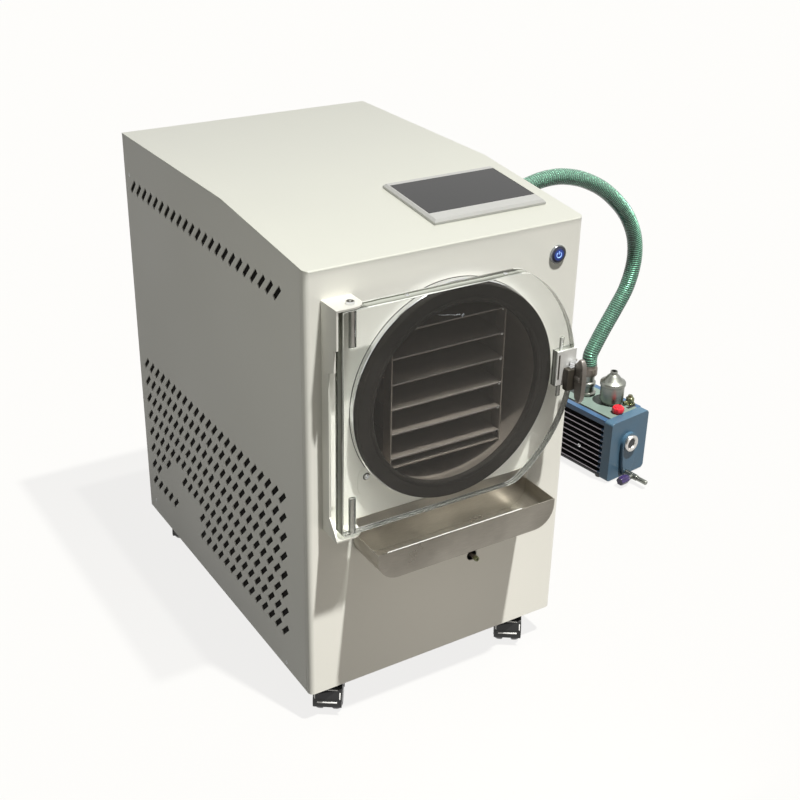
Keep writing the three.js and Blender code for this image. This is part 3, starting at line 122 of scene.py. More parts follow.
def stacked(profile, start, turn=1):
    """Profile whose heights run up (turn 1) or down (turn -1) from start."""
    return [(radius, start + turn * height) for radius, height in profile]


def smooth_path(points, steps):
    """Catmull-Rom curve through the points."""
    points = [Vector(p) for p in points]
    ends = [2 * points[0] - points[1]] + points + [2 * points[-1] - points[-2]]
    path = []
    for i in range(1, len(ends) - 2):
        a, b, c, d = ends[i - 1 : i + 3]
        for k in range(steps):
            t = k / steps
            square = (2 * a - 5 * b + 4 * c - d) * t * t
            cube = (3 * b - a - 3 * c + d) * t * t * t
            path.append(0.5 * (2 * b + (c - a) * t + square + cube))
    return path + [points[-1]]


def frames_along(path):
    """Point, side and up of a frame that turns as little as it can."""
    tangents = []
    for i in range(len(path)):
        ahead = path[min(i + 1, len(path) - 1)] - path[max(i - 1, 0)]
        tangents.append(ahead.normalized())
    side = tangents[0].orthogonal().normalized()
    found = []
    for point, tangent in zip(path, tangents):
        side = (side - tangent * side.dot(tangent)).normalized()
        found.append((point, side, tangent.cross(side)))
    return found


def even_shading(made):
    """Keeps broad faces flat next to their softened edges."""
    shading = made.modifiers.new("shading", "WEIGHTED_NORMAL")
    shading.keep_sharp = True


def bridge(part, a, b, sides):
    """Faces between two rings, either of which may be a single point."""
    for i in range(sides):
        j = (i + 1) % sides
        corners = [a[i % len(a)], a[j % len(a)], b[j % len(b)], b[i % len(b)]]
        unique = list(dict.fromkeys(corners))
        if len(unique) > 2:
            part.faces.new(unique)


def soften(part, edges, radius, steps):
    bmesh.ops.bevel(part, geom=edges, offset=radius, segments=steps, profile=0.5, affect="EDGES")


class Shape:
    """Closed forms gathered in one mesh."""

    def __init__(self):
        self.mesh = bmesh.new()

    def take(self, part, matrix=None):
        bmesh.ops.recalc_face_normals(part, faces=part.faces)
        if matrix is not None:
            bmesh.ops.transform(part, matrix=matrix, verts=part.verts)
        held = bpy.data.meshes.new("held")
        part.to_mesh(held)
        part.free()
        self.mesh.from_mesh(held)
        bpy.data.meshes.remove(held)
        return self

    def block(self, low, high, radius=0.0, steps=2, matrix=None):
        part = bmesh.new()
        low, high = Vector(low), Vector(high)
        bmesh.ops.create_cube(part, size=1.0)
        for vert in part.verts:
            vert.co = Vector((low[i] + high[i]) / 2 + vert.co[i] * (high[i] - low[i]) for i in range(3))
        if radius:
            soften(part, part.edges[:], radius, steps)
        return self.take(part, matrix)

    def turned(self, profile, centre=(0, 0, 0), axis="z", sides=48, facet=None):
        """Revolved profile of (radius, height); a profile off the axis closes on itself."""
        part = bmesh.new()
        rings = []
        for radius, height in profile:
            if not radius:
                rings.append([part.verts.new(LIFT[axis](0, 0, height))])
                continue
            ring = []
            for i in range(sides):
                angle = math.tau * i / sides
                reach = radius if facet is None else radius * facet(angle)
                spot = LIFT[axis](reach * math.cos(angle), reach * math.sin(angle), height)
                ring.append(part.verts.new(spot))
            rings.append(ring)
        pairs = list(zip(rings, rings[1:]))
        if len(rings[0]) > 1 and len(rings[-1]) > 1:
            pairs.append((rings[-1], rings[0]))
        for a, b in pairs:
            bridge(part, a, b, sides)
        bmesh.ops.translate(part, vec=Vector(centre), verts=part.verts)
        return self.take(part)

    def prism(self, outline, low, high, axis, bevel=0.0, steps=2):
        part = bmesh.new()
        floor = [part.verts.new(LIFT[axis](u, v, low)) for u, v in outline]
        roof = [part.verts.new(LIFT[axis](u, v, high)) for u, v in outline]
        part.faces.new(floor)
        part.faces.new(roof)
        bridge(part, floor, roof, len(outline))
        if bevel:
            rims = [part.edges.get(pair) for ring in (floor, roof) for pair in zip(ring, ring[1:] + ring[:1])]
            soften(part, rims, bevel, steps)
        return self.take(part)

    def tube(self, path, radius, sides=12):
        part = bmesh.new()
        rings = []
        for point, side, up in frames_along([Vector(p) for p in path]):
            ring = []
            for i in range(sides):
                angle = math.tau * i / sides
                reach = side * math.cos(angle) + up * math.sin(angle)
                ring.append(part.verts.new(point + reach * radius))
            rings.append(ring)
        for a, b in zip(rings, rings[1:]):
            bridge(part, a, b, sides)
        part.faces.new(rings[0])
        part.faces.new(rings[-1])
        return self.take(part)

    def screw(self, centre, axis, radius, height, turn=1):
        """Domed head with a hexagon socket."""
        profile = [
            (0, 0), (radius, 0), (radius, 0.45 * height), (0.9 * radius, 0.8 * height),
            (0.62 * radius, height), (0.5 * radius, height), (0.46 * radius, 0.35 * height),
            (0, 0.35 * height),
        ]
        return self.turned(stacked(profile, 0, turn), centre, axis, 24)

    def cut(self, cutter):
        """Takes the cutter's form away."""
        target, tool = self.object("target", 1.0), cutter.object("tool", 1.0)
        modifier = target.modifiers.new("cut", "BOOLEAN")
        modifier.operation = "DIFFERENCE"
        modifier.solver = "MANIFOLD"
        modifier.object = tool
        bpy.context.view_layer.update()
        graph = bpy.context.evaluated_depsgraph_get()
        result = bpy.data.meshes.new_from_object(target.evaluated_get(graph))
        for spent in (tool, target):
            bpy.data.objects.remove(spent)
        self.mesh = bmesh.new()
        self.mesh.from_mesh(result)
        bpy.data.meshes.remove(result)
        return self

    def object(self, name, scale=MM, matrix=None):
        bmesh.ops.transform(
            self.mesh, matrix=Matrix.Scale(scale, 4) @ (matrix or Matrix()), verts=self.mesh.verts
        )
        data = bpy.data.meshes.new(name)
        self.mesh.to_mesh(data)
        self.mesh.free()
        made = bpy.data.objects.new(name, data)
        scene.collection.objects.link(made)
        return made

    def piece(self, name, finish, slot, gone=None, matrix=None, body="cabinet"):
        """Makes the piece, in place of the CAD node gone if one is named, and puts it on its body."""
        made = self.object(name, MM, matrix)
        made.data.materials.append(finish.material)
        for polygon in made.data.polygons:
            polygon.use_smooth = True
        made.data.set_sharp_from_angle(angle=SHARP_ANGLE)
        even_shading(made)
        if gone:
            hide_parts(gone)
        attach(made, body)
        return made


def dress(names, finish, bevel, steps=2):
    """Gives CAD nodes their material, merged vertices and softened edges."""
    for name in names:
        node = NODES[name]
        for place in node.material_slots:
            place.material = finish.material
        for polygon in node.data.polygons:
            polygon.use_smooth = True
        weld = node.modifiers.new("weld", "WELD")
        weld.merge_threshold = MERGE_DISTANCE
        soft = node.modifiers.new("soft edges", "BEVEL")
        soft.width = bevel * MM
        soft.segments = steps
        soft.limit_method = "ANGLE"
        soft.angle_limit = DRESS_ANGLE
        even_shading(node)


# --- Shader nodes ---


def add(tree, kind, inputs=None, **settings):
    made = tree.nodes.new(kind)
    for key, value in settings.items():
        setattr(made, key, value)
    for key, value in (inputs or {}).items():
        if isinstance(value, bpy.types.NodeSocket):
            tree.links.new(value, made.inputs[key])
        else:
            made.inputs[key].default_value = value
    return made


def opaque(colour):
    return (*colour, 1.0)


def blend(tree, factor, low, high):
    """Colour between low and high."""
    low, high = (c if isinstance(c, bpy.types.NodeSocket) else opaque(c) for c in (low, high))
    return add(tree, "ShaderNodeMix", {0: factor, 6: low, 7: high}, data_type="RGBA").outputs[2]


def calc(tree, operation, first, second):
    return add(tree, "ShaderNodeMath", {0: first, 1: second}, operation=operation).outputs[0]


def spread(tree, value, low, high, out_low=0.0, out_high=1.0):
    """Number mapped from one span to another and held inside it."""
    spans = {"From Min": low, "From Max": high, "To Min": out_low, "To Max": out_high}
    return add(tree, "ShaderNodeMapRange", {"Value": value, **spans}).outputs["Result"]


def scaled(tree, colour, share):
    made = add(tree, "ShaderNodeVectorMath", {0: colour}, operation="SCALE")
    tree.links.new(share, made.inputs["Scale"])
    return made.outputs[0]


def axis_of(tree, place, name):
    return add(tree, "ShaderNodeSeparateXYZ", {0: place}).outputs[name]


# Where most of a noise lies
NOISE_SPAN = (0.3, 0.7)


def noise(tree, place, scale, detail=3.0, stretch=None):
    if stretch:
        place = add(tree, "ShaderNodeMapping", {"Vector": place, "Scale": stretch}).outputs[0]
    return add(
        tree, "ShaderNodeTexNoise",
        {"Vector": place, "Scale": scale, "Detail": detail, "Roughness": 0.55},
    ).outputs["Fac"]


def mix(tree, share, first, second):
    return add(tree, "ShaderNodeMixShader", {0: share, 1: first, 2: second}).outputs[0]


def glow(tree, colour):
    return add(tree, "ShaderNodeEmission", {"Color": opaque(colour), "Strength": 1.0}).outputs[0]


def show(tree, shader):
    """Makes this shader the material's surface."""
    tree.links.new(shader, tree.nodes["Material Output"].inputs["Surface"])


class Finish:
    """Principled material with cloudy tone, fine grain, uneven gloss and bump."""

    def __init__(
        self, name, colour, rough, metallic=0.0, tone=0.05, tone_scale=7.0, grain=300.0,
        stretch=None, grain_tone=0.03, bump=0.12, depth=0.05, gloss_span=0.06, **sockets
    ):
        self.material = bpy.data.materials.new(name)
        self.material.use_nodes = True
        self.tree = tree = self.material.node_tree
        self.shader = tree.nodes["Principled BSDF"]
        self.place = add(tree, "ShaderNodeTexCoord").outputs["Object"]
        cloud = noise(tree, self.place, tone_scale, 4.0)
        fine = noise(tree, self.place, grain, 3.0, stretch)
        dark = tuple(c * (1 - tone) for c in colour)
        light = tuple(min(1.0, c * (1 + tone)) for c in colour)
        broad = blend(tree, spread(tree, cloud, *NOISE_SPAN), dark, light)
        speck = spread(tree, fine, *NOISE_SPAN, 1 - grain_tone, 1 + grain_tone)
        self.colour = scaled(tree, broad, speck)
        self.link(self.colour, "Base Color")
        self.link(spread(tree, cloud, *NOISE_SPAN, rough - gloss_span, rough + gloss_span), "Roughness")
        relief = {"Height": fine, "Strength": bump, "Distance": depth * MM}
        self.link(add(tree, "ShaderNodeBump", relief).outputs[0], "Normal")
        for key, value in {"Metallic": metallic, **sockets}.items():
            self.shader.inputs[key.replace("_", " ")].default_value = value

    def link(self, value, socket):
        self.tree.links.new(value, self.shader.inputs[socket])

    def axis(self, name):
        """Where a point of the surface lies along an axis, in metres."""
        return axis_of(self.tree, self.place, name)


def let_lamps_through(finish, tint, zone=None):
    """Lamp rays pass with this tint, and inside the zone with its own."""
    tree = finish.tree
    if zone is None:
        tint = opaque(tint)
    else:
        inside, deep = zone
        tint = blend(tree, inside, tint, deep)
    lamp_ray = add(tree, "ShaderNodeLightPath").outputs["Is Shadow Ray"]
    clear = add(tree, "ShaderNodeBsdfTransparent", {"Color": tint}).outputs[0]
    show(tree, mix(tree, lamp_ray, finish.shader.outputs[0], clear))


def brushed(name, colour, rough, stretch, tone=0.07):
    return Finish(
        name, colour, rough, metallic=1.0, tone=tone, tone_scale=9.0, grain=60.0,
        stretch=stretch, grain_tone=0.1, bump=0.25, depth=0.04, gloss_span=0.08
    )


# --- Finishes ---

SMOOTH_PAINT = dict(tone=0.012, tone_scale=3.0, grain=700.0, grain_tone=0.008, bump=0.05, gloss_span=0.04)
DULL_STEEL = dict(tone_scale=9.0, grain=60.0, grain_tone=0.1, bump=0.2)
PLATED = dict(metallic=1.0, grain=900.0, bump=0.03)

white = Finish("white paint", (0.835, 0.83, 0.768), 0.42, Specular_IOR_Level=0.28, **SMOOTH_PAINT)
top_white = Finish("top paint", (0.84, 0.85, 0.76), 0.36, **SMOOTH_PAINT)
galvanised = Finish("galvanised sheet", (0.55, 0.56, 0.57), 0.5, metallic=0.9, tone=0.16,
                    tone_scale=45.0, grain=200.0)
steel = brushed("brushed steel", (0.62, 0.6, 0.57), 0.3, (1.0, 1.0, 30.0))
tray_steel = brushed("tray steel", (0.47, 0.445, 0.395), 0.32, (1.0, 1.0, 34.0), tone=0.12)
chrome = Finish("chrome", (0.78, 0.79, 0.8), 0.1, tone=0.03, tone_scale=60.0, gloss_span=0.03, **PLATED)
dark_chrome = Finish("dark chrome", (0.36, 0.38, 0.4), 0.14, tone=0.2, tone_scale=160.0,
                     gloss_span=0.04, **PLATED)
# Steel inside the chamber, far darker than the bright steel outside: painted shade for the deep chamber
shaded_shelf_steel = Finish("shelf steel darkened for shade", (0.21, 0.18, 0.155), 0.42, metallic=0.6, tone=0.1,
                     stretch=(30.0, 1.0, 1.0), **DULL_STEEL)
shaded_lip_steel = Finish("shelf edge darkened for shade", (0.21, 0.19, 0.18), 0.42, metallic=0.6, tone=0.12, tone_scale=40.0)
shaded_chamber_steel = Finish("chamber steel darkened for shade", (0.2, 0.172, 0.146), 0.42, metallic=0.5, tone=0.14,
                      stretch=(1.0, 1.0, 20.0), **DULL_STEEL)
rubber = Finish("seal rubber", (0.011, 0.0095, 0.008), 0.6, tone=0.18, tone_scale=18.0,
                grain=900.0, grain_tone=0.06, bump=0.06, gloss_span=0.06, Specular_IOR_Level=0.12)
copper = Finish("copper", (0.72, 0.4, 0.26), 0.3, metallic=1.0, tone=0.12, tone_scale=50.0)
foam = Finish("foam", (0.03, 0.03, 0.03), 0.8, tone=0.2, tone_scale=30.0, grain=500.0, bump=0.5,
              depth=0.4)
# Near-black with almost no gloss: painted shade behind the air slots
slot_shade_black = Finish("slot shade black", (0.008, 0.007, 0.006), 0.9, tone=0.2, tone_scale=30.0,
                      grain=500.0, bump=0.3, depth=0.4, Specular_IOR_Level=0.1)
black_paint = Finish("black paint", (0.02, 0.02, 0.022), 0.35, tone=0.15, tone_scale=30.0, grain=600.0)
bezel_grey = Finish("bezel plastic", (0.66, 0.665, 0.64), 0.4, tone=0.02, grain=900.0, bump=0.1)
box_grey = Finish("box plastic", (0.5, 0.5, 0.48), 0.5, tone=0.04, grain=500.0)
glass = Finish("screen glass", (0.014, 0.0145, 0.0145), 0.16, tone=0.1, tone_scale=9.0, grain=1500.0,
               bump=0.02, gloss_span=0.03, Specular_IOR_Level=0.4)
CLEAR = dict(grain_tone=0.0, bump=0.02, depth=0.03, IOR=1.49, Specular_IOR_Level=0.22)
acrylic = Finish("clear acrylic", (0.97, 0.98, 0.975), 0.03, tone=0.01, tone_scale=5.0, grain=90.0,
                 gloss_span=0.015, Transmission_Weight=1.0, **CLEAR)
acrylic_edge = Finish("acrylic edge", (0.6, 0.62, 0.58), 0.16, tone=0.0, gloss_span=0.03,
                      Transmission_Weight=0.3, **CLEAR)
blue_lamp = Finish("blue lamp", (0.03, 0.06, 0.26), 0.25, tone=0.2, tone_scale=160.0,
                   Emission_Color=opaque((0.02, 0.05, 0.4)), Emission_Strength=0.15)
navy = Finish("button edge", (0.03, 0.035, 0.07), 0.2, tone=0.25, tone_scale=220.0)
symbol_light = Finish("symbol light", (0.35, 0.55, 0.95), 0.3,
                      Emission_Color=opaque((0.3, 0.5, 1.0)), Emission_Strength=0.5)
aluminium = Finish("fin aluminium", (0.66, 0.66, 0.65), 0.35, metallic=1.0, tone=0.1, tone_scale=30.0)
clear_fitting = Finish("clear fitting", (0.7, 0.7, 0.68), 0.2, tone_scale=60.0, metallic=0.25)
handle_steel = brushed("handle steel", (0.3, 0.28, 0.255), 0.42, (1.0, 1.0, 16.0))
dark_block = Finish("dark block", (0.035, 0.03, 0.022), 0.45, tone=0.2, tone_scale=70.0)
black_plastic = Finish("black plastic", (0.008, 0.008, 0.008), 0.17, tone=0.2, tone_scale=60.0,
                       grain=500.0, bump=0.06)
green_hose = Finish("hose wall", (0.38, 0.68, 0.54), 0.14, tone=0.1, tone_scale=40.0, grain=500.0,
                    bump=0.04, IOR=1.4, Transmission_Weight=0.86)
let_lamps_through(green_hose, (0.42, 0.6, 0.52))
hose_wire = Finish("hose wire", (0.5, 0.66, 0.58), 0.3, metallic=0.4, tone=0.15, tone_scale=90.0)
# Dark inner tube: painted shade inside the hose
hose_shade_core = Finish("hose shade core", (0.085, 0.07, 0.065), 0.6, tone=0.15, tone_scale=30.0)
clamp_brown = Finish("clamp", (0.2, 0.175, 0.15), 0.38, metallic=0.7, tone=0.12, tone_scale=50.0)
blue_paint = Finish("blue paint", (0.055, 0.118, 0.178), 0.4, tone=0.08, tone_scale=28.0,
                    grain=900.0, bump=0.14, gloss_span=0.08)
rail_blue = Finish("rail blue", (0.042, 0.1, 0.19), 0.36, tone=0.08, tone_scale=28.0, grain=900.0)
teal_plate = Finish("top plate", (0.16, 0.215, 0.185), 0.42, tone=0.1, tone_scale=25.0, grain=900.0)
# Pale edge of the dark fins: painted highlight
fin_edge_highlight = Finish("fin edge highlight", (0.42, 0.38, 0.42), 0.45, metallic=0.5, tone=0.1, tone_scale=80.0)
red_cap = Finish("red plastic", (0.68, 0.02, 0.035), 0.28, tone=0.1, tone_scale=90.0, grain=800.0)
brass = Finish("brass", (0.2, 0.21, 0.12), 0.3, metallic=1.0, tone=0.15, tone_scale=110.0)
canister_steel = brushed("canister steel", (0.26, 0.268, 0.24), 0.34, (1.0, 1.0, 16.0), tone=0.06)
purple = Finish("purple plastic", (0.035, 0.022, 0.085), 0.25, tone=0.2, tone_scale=120.0)
sight_oil = Finish("sight window", (0.012, 0.012, 0.012), 0.08, tone=0.2, tone_scale=120.0)

# --- Door sheet: painted reflection bands and painted shade on its edge, a painted shadow below ---

seal_low, seal_high = box("door_seal")
AXIS_X = (seal_low.x + seal_high.x) / 2
AXIS_Z = (seal_low.z + seal_high.z) / 2
door_low, door_high = box("door_panel")
# Painted reflections across the edge's thickness: place from front to rear, and colour
EDGE_REFLECTION_BANDS = (
    (0.0, (0.8, 0.82, 0.78)), (0.14, (0.75, 0.77, 0.72)), (0.2, (0.09, 0.095, 0.07)),
    (0.3, (0.3, 0.31, 0.27)), (0.62, (0.46, 0.48, 0.43)), (0.72, (0.07, 0.075, 0.055)),
    (0.84, (0.1, 0.105, 0.08)), (0.9, (0.7, 0.72, 0.68)),
)


def paint_edge_reflections(finish, front, rear):
    """Painted reflections: pale and dark bands across the sheet's thickness, as on a polished edge, with
    painted shade on its lower part.
    """
    tree = finish.tree
    wander = spread(tree, noise(tree, finish.place, 22.0), *NOISE_SPAN, -0.05, 0.05)
    depth = calc(tree, "ADD", spread(tree, finish.axis("Y"), front * MM, rear * MM), wander)
    ramp = add(tree, "ShaderNodeValToRGB", {"Fac": depth})
    stops = ramp.color_ramp.elements
    for index, (place, colour) in enumerate(EDGE_REFLECTION_BANDS):
        stop = stops[index] if index < 2 else stops.new(place)
        stop.position = place
        stop.color = opaque(colour)
    # Painted shade: the edge darkens towards the bottom of the sheet, except on the hinge side
    lower_edge_shade = spread(tree, finish.axis("Z"), (AXIS_Z - 60) * MM, (AXIS_Z + 20) * MM, 0.2, 1.0)
    hinge_side = spread(tree, finish.axis("X"), (door_low.x + 2) * MM, (door_low.x + 6) * MM, 1.0, 0.0)
    share = calc(tree, "MAXIMUM", lower_edge_shade, hinge_side)
    finish.link(scaled(tree, ramp.outputs["Color"], share), "Base Color")


def painted_shadow_zone(finish):
    """1 in the stretch of sheet whose painted shadow falls under the chamber's mouth."""
    spans = (
        ("Z", AXIS_Z - 118, AXIS_Z - 104, 0.0, 1.0), ("Z", AXIS_Z - 52, AXIS_Z - 36, 1.0, 0.0),
        ("X", AXIS_X - 160, AXIS_X - 152, 0.0, 1.0), ("X", AXIS_X + 70, AXIS_X + 130, 1.0, 0.0),
    )
    inside = 1.0
    for axis, low, high, first, last in spans:
        part = spread(finish.tree, finish.axis(axis), low * MM, high * MM, first, last)
        inside = calc(finish.tree, "MULTIPLY", part, inside)
    return inside


paint_edge_reflections(acrylic_edge, door_low.y, door_high.y)
let_lamps_through(acrylic_edge, (0.2, 0.21, 0.2))
# Lamp rays through the zone take a darker tint: a painted shadow on the panel under the chamber's mouth
let_lamps_through(acrylic, (0.9, 0.91, 0.905), (painted_shadow_zone(acrylic), (0.37, 0.36, 0.35)))

# --- Cabinet ---

FACE = box("front_panel")[0].y
SHELVES = [f"shelf_{i}" for i in range(1, 7)]
for names, finish, *edge in (
    (["front_panel", "rear_panel", "right_panel", "left_panel"], white, 0.6),
    (["hinge_bracket"], white, 0.7),
    (["top_cover"], top_white, 2.2, 3),
    (["base_pan", "chamber_stand"], galvanised, 0.6),
    (["evaporator_coil", "discharge_pipe"], copper, 0.3),
    (["insulation_jacket"], foam, 2.0),
    (["compressor"], black_paint, 1.5),
    (["condenser"], aluminium, 0.5),
    (["fan_shroud", "fan_rotor", "mains_inlet"], black_plastic, 0.8),
    (["control_box"], box_grey, 2.0),
    (["vacuum_port"], steel, 0.6),
    (["screen_bezel"], bezel_grey, 1.2, 3),
    (["screen_glass"], glass, 0.4),
    (["drip_tray"], tray_steel, 0.5),
    (["latch_cam", "latch_keeper"], steel, 0.5),
    (["shelf_rack"], shaded_shelf_steel, 0.4),
    (SHELVES, shaded_shelf_steel, 0.4),
):
    dress(names, finish, *edge)

# Screws of the left panel, by their way back from its front and their height
side_x = box("left_panel")[0].x
PANEL_SCREWS = ((86, 73), (665, 89), (675, 771))
panel_screws = Shape()
for y, z in PANEL_SCREWS:
    panel_screws.screw((side_x + 1.0, FACE + y, z), "x", 4.0, 1.1, -1)
panel_screws.piece("panel_screws", dark_chrome, "chrome")

# Near-black sheet behind the air slots: painted shade for the dark inside seen through them
shade_sheet = Shape()
for z0, z1 in ((96, 428), (734, 774)):
    shade_sheet.block((side_x + 2.3, FACE + 52, z0), (side_x + 5.3, FACE + 688, z1), 0.6)
shade_sheet.piece("slot_shade_sheet", slot_shade_black, "foam")

# --- Chamber: rim, seal, shelf lips, tray ---

chamber_low, chamber_high = box("chamber")
CENTRE = (AXIS_X, 0, AXIS_Z)
BORE = 160.0
WALL = 3.0
FLANGE = 182.0
DRAIN = 12.5
flange_front = seal_high.y + FIT
rear = chamber_high.y
chamber = Shape().turned(
    [
        (BORE, flange_front + 0.6), (BORE + 0.6, flange_front), (FLANGE - 1.5, flange_front),
        (FLANGE, flange_front + 1.5), (FLANGE, FACE - FIT), (BORE + WALL, FACE - FIT),
        (BORE + WALL, rear), (DRAIN, rear), (DRAIN, rear - 4), (BORE - 12, rear - 4), (BORE, rear - 16),
    ],
    CENTRE, "y", 128,
)
drain_x = AXIS_X + 66
drain_z = chamber_low.z + 12
spout = ((60, AXIS_Z - 150), (40, AXIS_Z - 230), (20, drain_z + 6), (0, drain_z), (-10, drain_z))
chamber.tube(smooth_path([(drain_x, FACE + y, z) for y, z in spout], 8), 3.7, 20)
chamber.piece("chamber_shell", shaded_chamber_steel, "stainless", "chamber")

nozzle = Shape().turned(
    [(2.4, 0), (4.0, 0), (4.6, 1.0), (4.6, 7), (4.0, 8), (2.4, 8)], (drain_x, FACE - 17, drain_z), "y", 28
)
nozzle.piece("drain_nozzle", brass, "stainless")

rim = Shape().turned(
    [
        (FLANGE - 7, flange_front - 0.2), (FLANGE - 0.2, flange_front - 0.2),
        (FLANGE + 0.6, flange_front + 0.8), (FLANGE + 0.6, FACE - 0.4), (FLANGE - 7, FACE - 0.4),
    ],
    CENTRE, "y", 160,
)
rim.piece("chamber_rim", chrome, "stainless")
caulk = [(0.3, -1.2), (0.9, -0.9), (1.1, -0.1), (0.3, -0.1)]
caulk = Shape().turned([(FLANGE + r, FACE + y) for r, y in caulk], CENTRE, "y", 160)
caulk.piece("rim_caulk", rubber, "seal_rubber")

seal_outer = (seal_high.x - seal_low.x) / 2
SEAL_INNER = 152.0
outside = [(seal_outer - 2.0, 0), (seal_outer - 0.5, 0.8), (seal_outer, 2.4)]
behind = [(seal_outer, -1.0), (seal_outer - 1.0, 0), (SEAL_INNER + 1.5, 0), (SEAL_INNER, -1.2)]
lip = [(0, 2.6), (0.8, 0.8), (3.0, 0), (6.0, 0.4), (7.5, 1.6), (10.0, 1.6), (12.0, 0.2)]
lip = [(SEAL_INNER + r, y) for r, y in lip]
seal = Shape().turned(
    stacked(outside, seal_low.y) + stacked(behind, seal_high.y) + stacked(lip, seal_low.y),
    CENTRE, "y", 160,
)
seal.piece("door_seal_ring", rubber, "seal_rubber", "door_seal")

lips = Shape()
rivets = Shape()
for name in SHELVES:
    low, high = box(name)
    lips.block((low.x + 0.5, low.y - 0.8, high.z - 1.5), (high.x - 0.5, low.y + 0.4, high.z + 0.2), 0.4)
    rivets.turned([(0, 0), (2.0, 0), (2.0, 1.2), (1.2, 1.8), (0, 1.8)],
                  (high.x - 6, low.y - 2.6, low.z + 1.4), "y", 16)
lips.piece("shelf_lips", shaded_lip_steel, "stainless")
rivets.piece("shelf_rivets", chrome, "stainless")

shelf_low, shelf_high = box(SHELVES[0])
lead = [
    (AXIS_X + x, shelf_low.y + y, shelf_high.z + z)
    for x, y, z in ((16, -2, 6), (4, 4, 5), (-20, 30, 3), (-30, 120, 3))
]
probe = Shape().tube(smooth_path(lead, 6), 1.5, 12)
probe.screw((AXIS_X + 18, shelf_low.y - 4, shelf_high.z + 5), "y", 3.4, 3.0, -1)
probe.piece("shelf_probe", dark_chrome, "chrome")

tray_low, tray_high = box("drip_tray")
TRAY_RIM = 360.0
# The hem takes a paler finish than the tray: a painted highlight along the front wall's rim
hem_highlight = Shape().block(
    (tray_low.x + 22, tray_low.y + 7, TRAY_RIM - 9), (tray_high.x - 60, tray_low.y + 11, TRAY_RIM - 5), 1.6, 3
)
for x in (tray_low.x + 30, tray_high.x - 70):
    hem_highlight.block((x, tray_low.y + 0.9, TRAY_RIM - 8.4), (x + 4, tray_low.y + 8, TRAY_RIM - 6), 0.8)
hem_highlight.piece("tray_hem_highlight", clear_fitting, "stainless")

# --- Door and hinge ---

DOOR_ARC = 217.0
DOOR_FILLET = 45.0
DOOR_HALF = (door_high.z - door_low.z) / 2
NOTCH_LEFT = 180.0
NOTCH_LOW = -25.0
NOTCH_HIGH = 37.0
EDGE_FACING = 0.6
hinge = joint_at("door_hinge")


def door_outline():
    fillet_z = DOOR_HALF - DOOR_FILLET
    fillet_x = math.sqrt((DOOR_ARC - DOOR_FILLET) ** 2 - fillet_z**2)
    meet = math.degrees(math.atan2(fillet_z, fillet_x))
    notch_low, notch_high = (math.degrees(math.asin(z / DOOR_ARC)) for z in (NOTCH_LOW, NOTCH_HIGH))
    left = door_low.x - AXIS_X
    points = (
        [(left + 2, -DOOR_HALF)]
        + arc(fillet_x, -fillet_z, DOOR_FILLET, -90, -meet, 14)
        + arc(0, 0, DOOR_ARC, -meet, notch_low, 40)[1:]
        + [(NOTCH_LEFT, NOTCH_LOW), (NOTCH_LEFT, NOTCH_HIGH)]
        + arc(0, 0, DOOR_ARC, notch_high, meet, 38)
        + arc(fillet_x, fillet_z, DOOR_FILLET, meet, 90, 14)[1:]
        + [(left + 2, DOOR_HALF), (left, DOOR_HALF - 2), (left, 2 - DOOR_HALF)]
    )
    return [(AXIS_X + x, AXIS_Z + z) for x, z in points]


PIN = 4.0
BUSH = 6.0
BUSH_LENGTH = 60.0
BOLT_REACH = 21.0
bolt_x = AXIS_X + 192
bolt_y = (door_low.y + door_high.y) / 2
bores = Shape()
for x, y, mouth, inward, radius, depth, sides in (
    (hinge.x, hinge.y, door_high.z, -1, BUSH, BUSH_LENGTH, 40),
    (hinge.x, hinge.y, door_low.z, 1, BUSH, BUSH_LENGTH, 40),
    (bolt_x, bolt_y, AXIS_Z + NOTCH_HIGH, 1, PIN, BOLT_REACH, 32),
    (bolt_x, bolt_y, AXIS_Z + NOTCH_LOW, -1, PIN, BOLT_REACH, 32),
):
    bores.turned(stacked(rod(radius + FIT, -2, depth + FIT), 0, inward), (x, y, mouth), "z", sides)
door = Shape().prism(door_outline(), door_low.y, door_high.y, "y", 1.2, 3).cut(bores)
plate = door.piece("door_plate", acrylic, "clear_acrylic", "door_panel", body="door")
plate.data.materials.append(acrylic_edge.material)
for polygon in plate.data.polygons:
    if abs(polygon.normal.y) < EDGE_FACING:
        polygon.material_index = 1

bracket_low, bracket_high = box("hinge_bracket")
EAR = 3.0
for name, end, turn, ear in (
    ("top", door_high.z, 1, bracket_high.z), ("bottom", door_low.z, -1, bracket_low.z)
):
    outer = box(f"hinge_bush_{name}")[turn > 0].z
    seat = ear + FIT * turn
    middle = (hinge.x, hinge.y, 0)
    inner = [
        (PIN + FIT, -BUSH_LENGTH), (5.4, -BUSH_LENGTH), (BUSH, -59), (BUSH, -32), (5.5, -31), (5.5, -29),
        (BUSH, -28), (BUSH, FIT), (8.0, FIT),
    ]
    collar = [(8.0, -FIT), (7.6, 0), (PIN + FIT, 0)]
    bush = Shape().turned(stacked(inner, end, turn) + stacked(collar, outer, turn), middle, "z", 40)
    bush.piece(f"hinge_sleeve_{name}", steel, "stainless", f"hinge_bush_{name}", body="door")
    shank = [(0, -50), (3.2, -50), (PIN, -49)]
    head = [
        (PIN, 0), (7.0, 0), (7.0, 3.2), (6.2, 4), (5.6, 4), (5.2, 1.0), (2.2, 1.0), (1.8, 4), (0, 4),
    ]
    pin = Shape().turned(stacked(shank, end, turn) + stacked(head, seat, turn), middle, "z", 36)
    pin.piece(f"hinge_screw_{name}", chrome, "chrome", f"hinge_pin_{name}")
    inlay = stacked([(2.0, 0.9), (5.4, 0.9), (5.5, 3.2), (1.9, 3.2)], seat, turn)
    Shape().turned(inlay, middle, "z", 36).piece(f"hinge_cap_{name}", dark_block, "black_plastic")

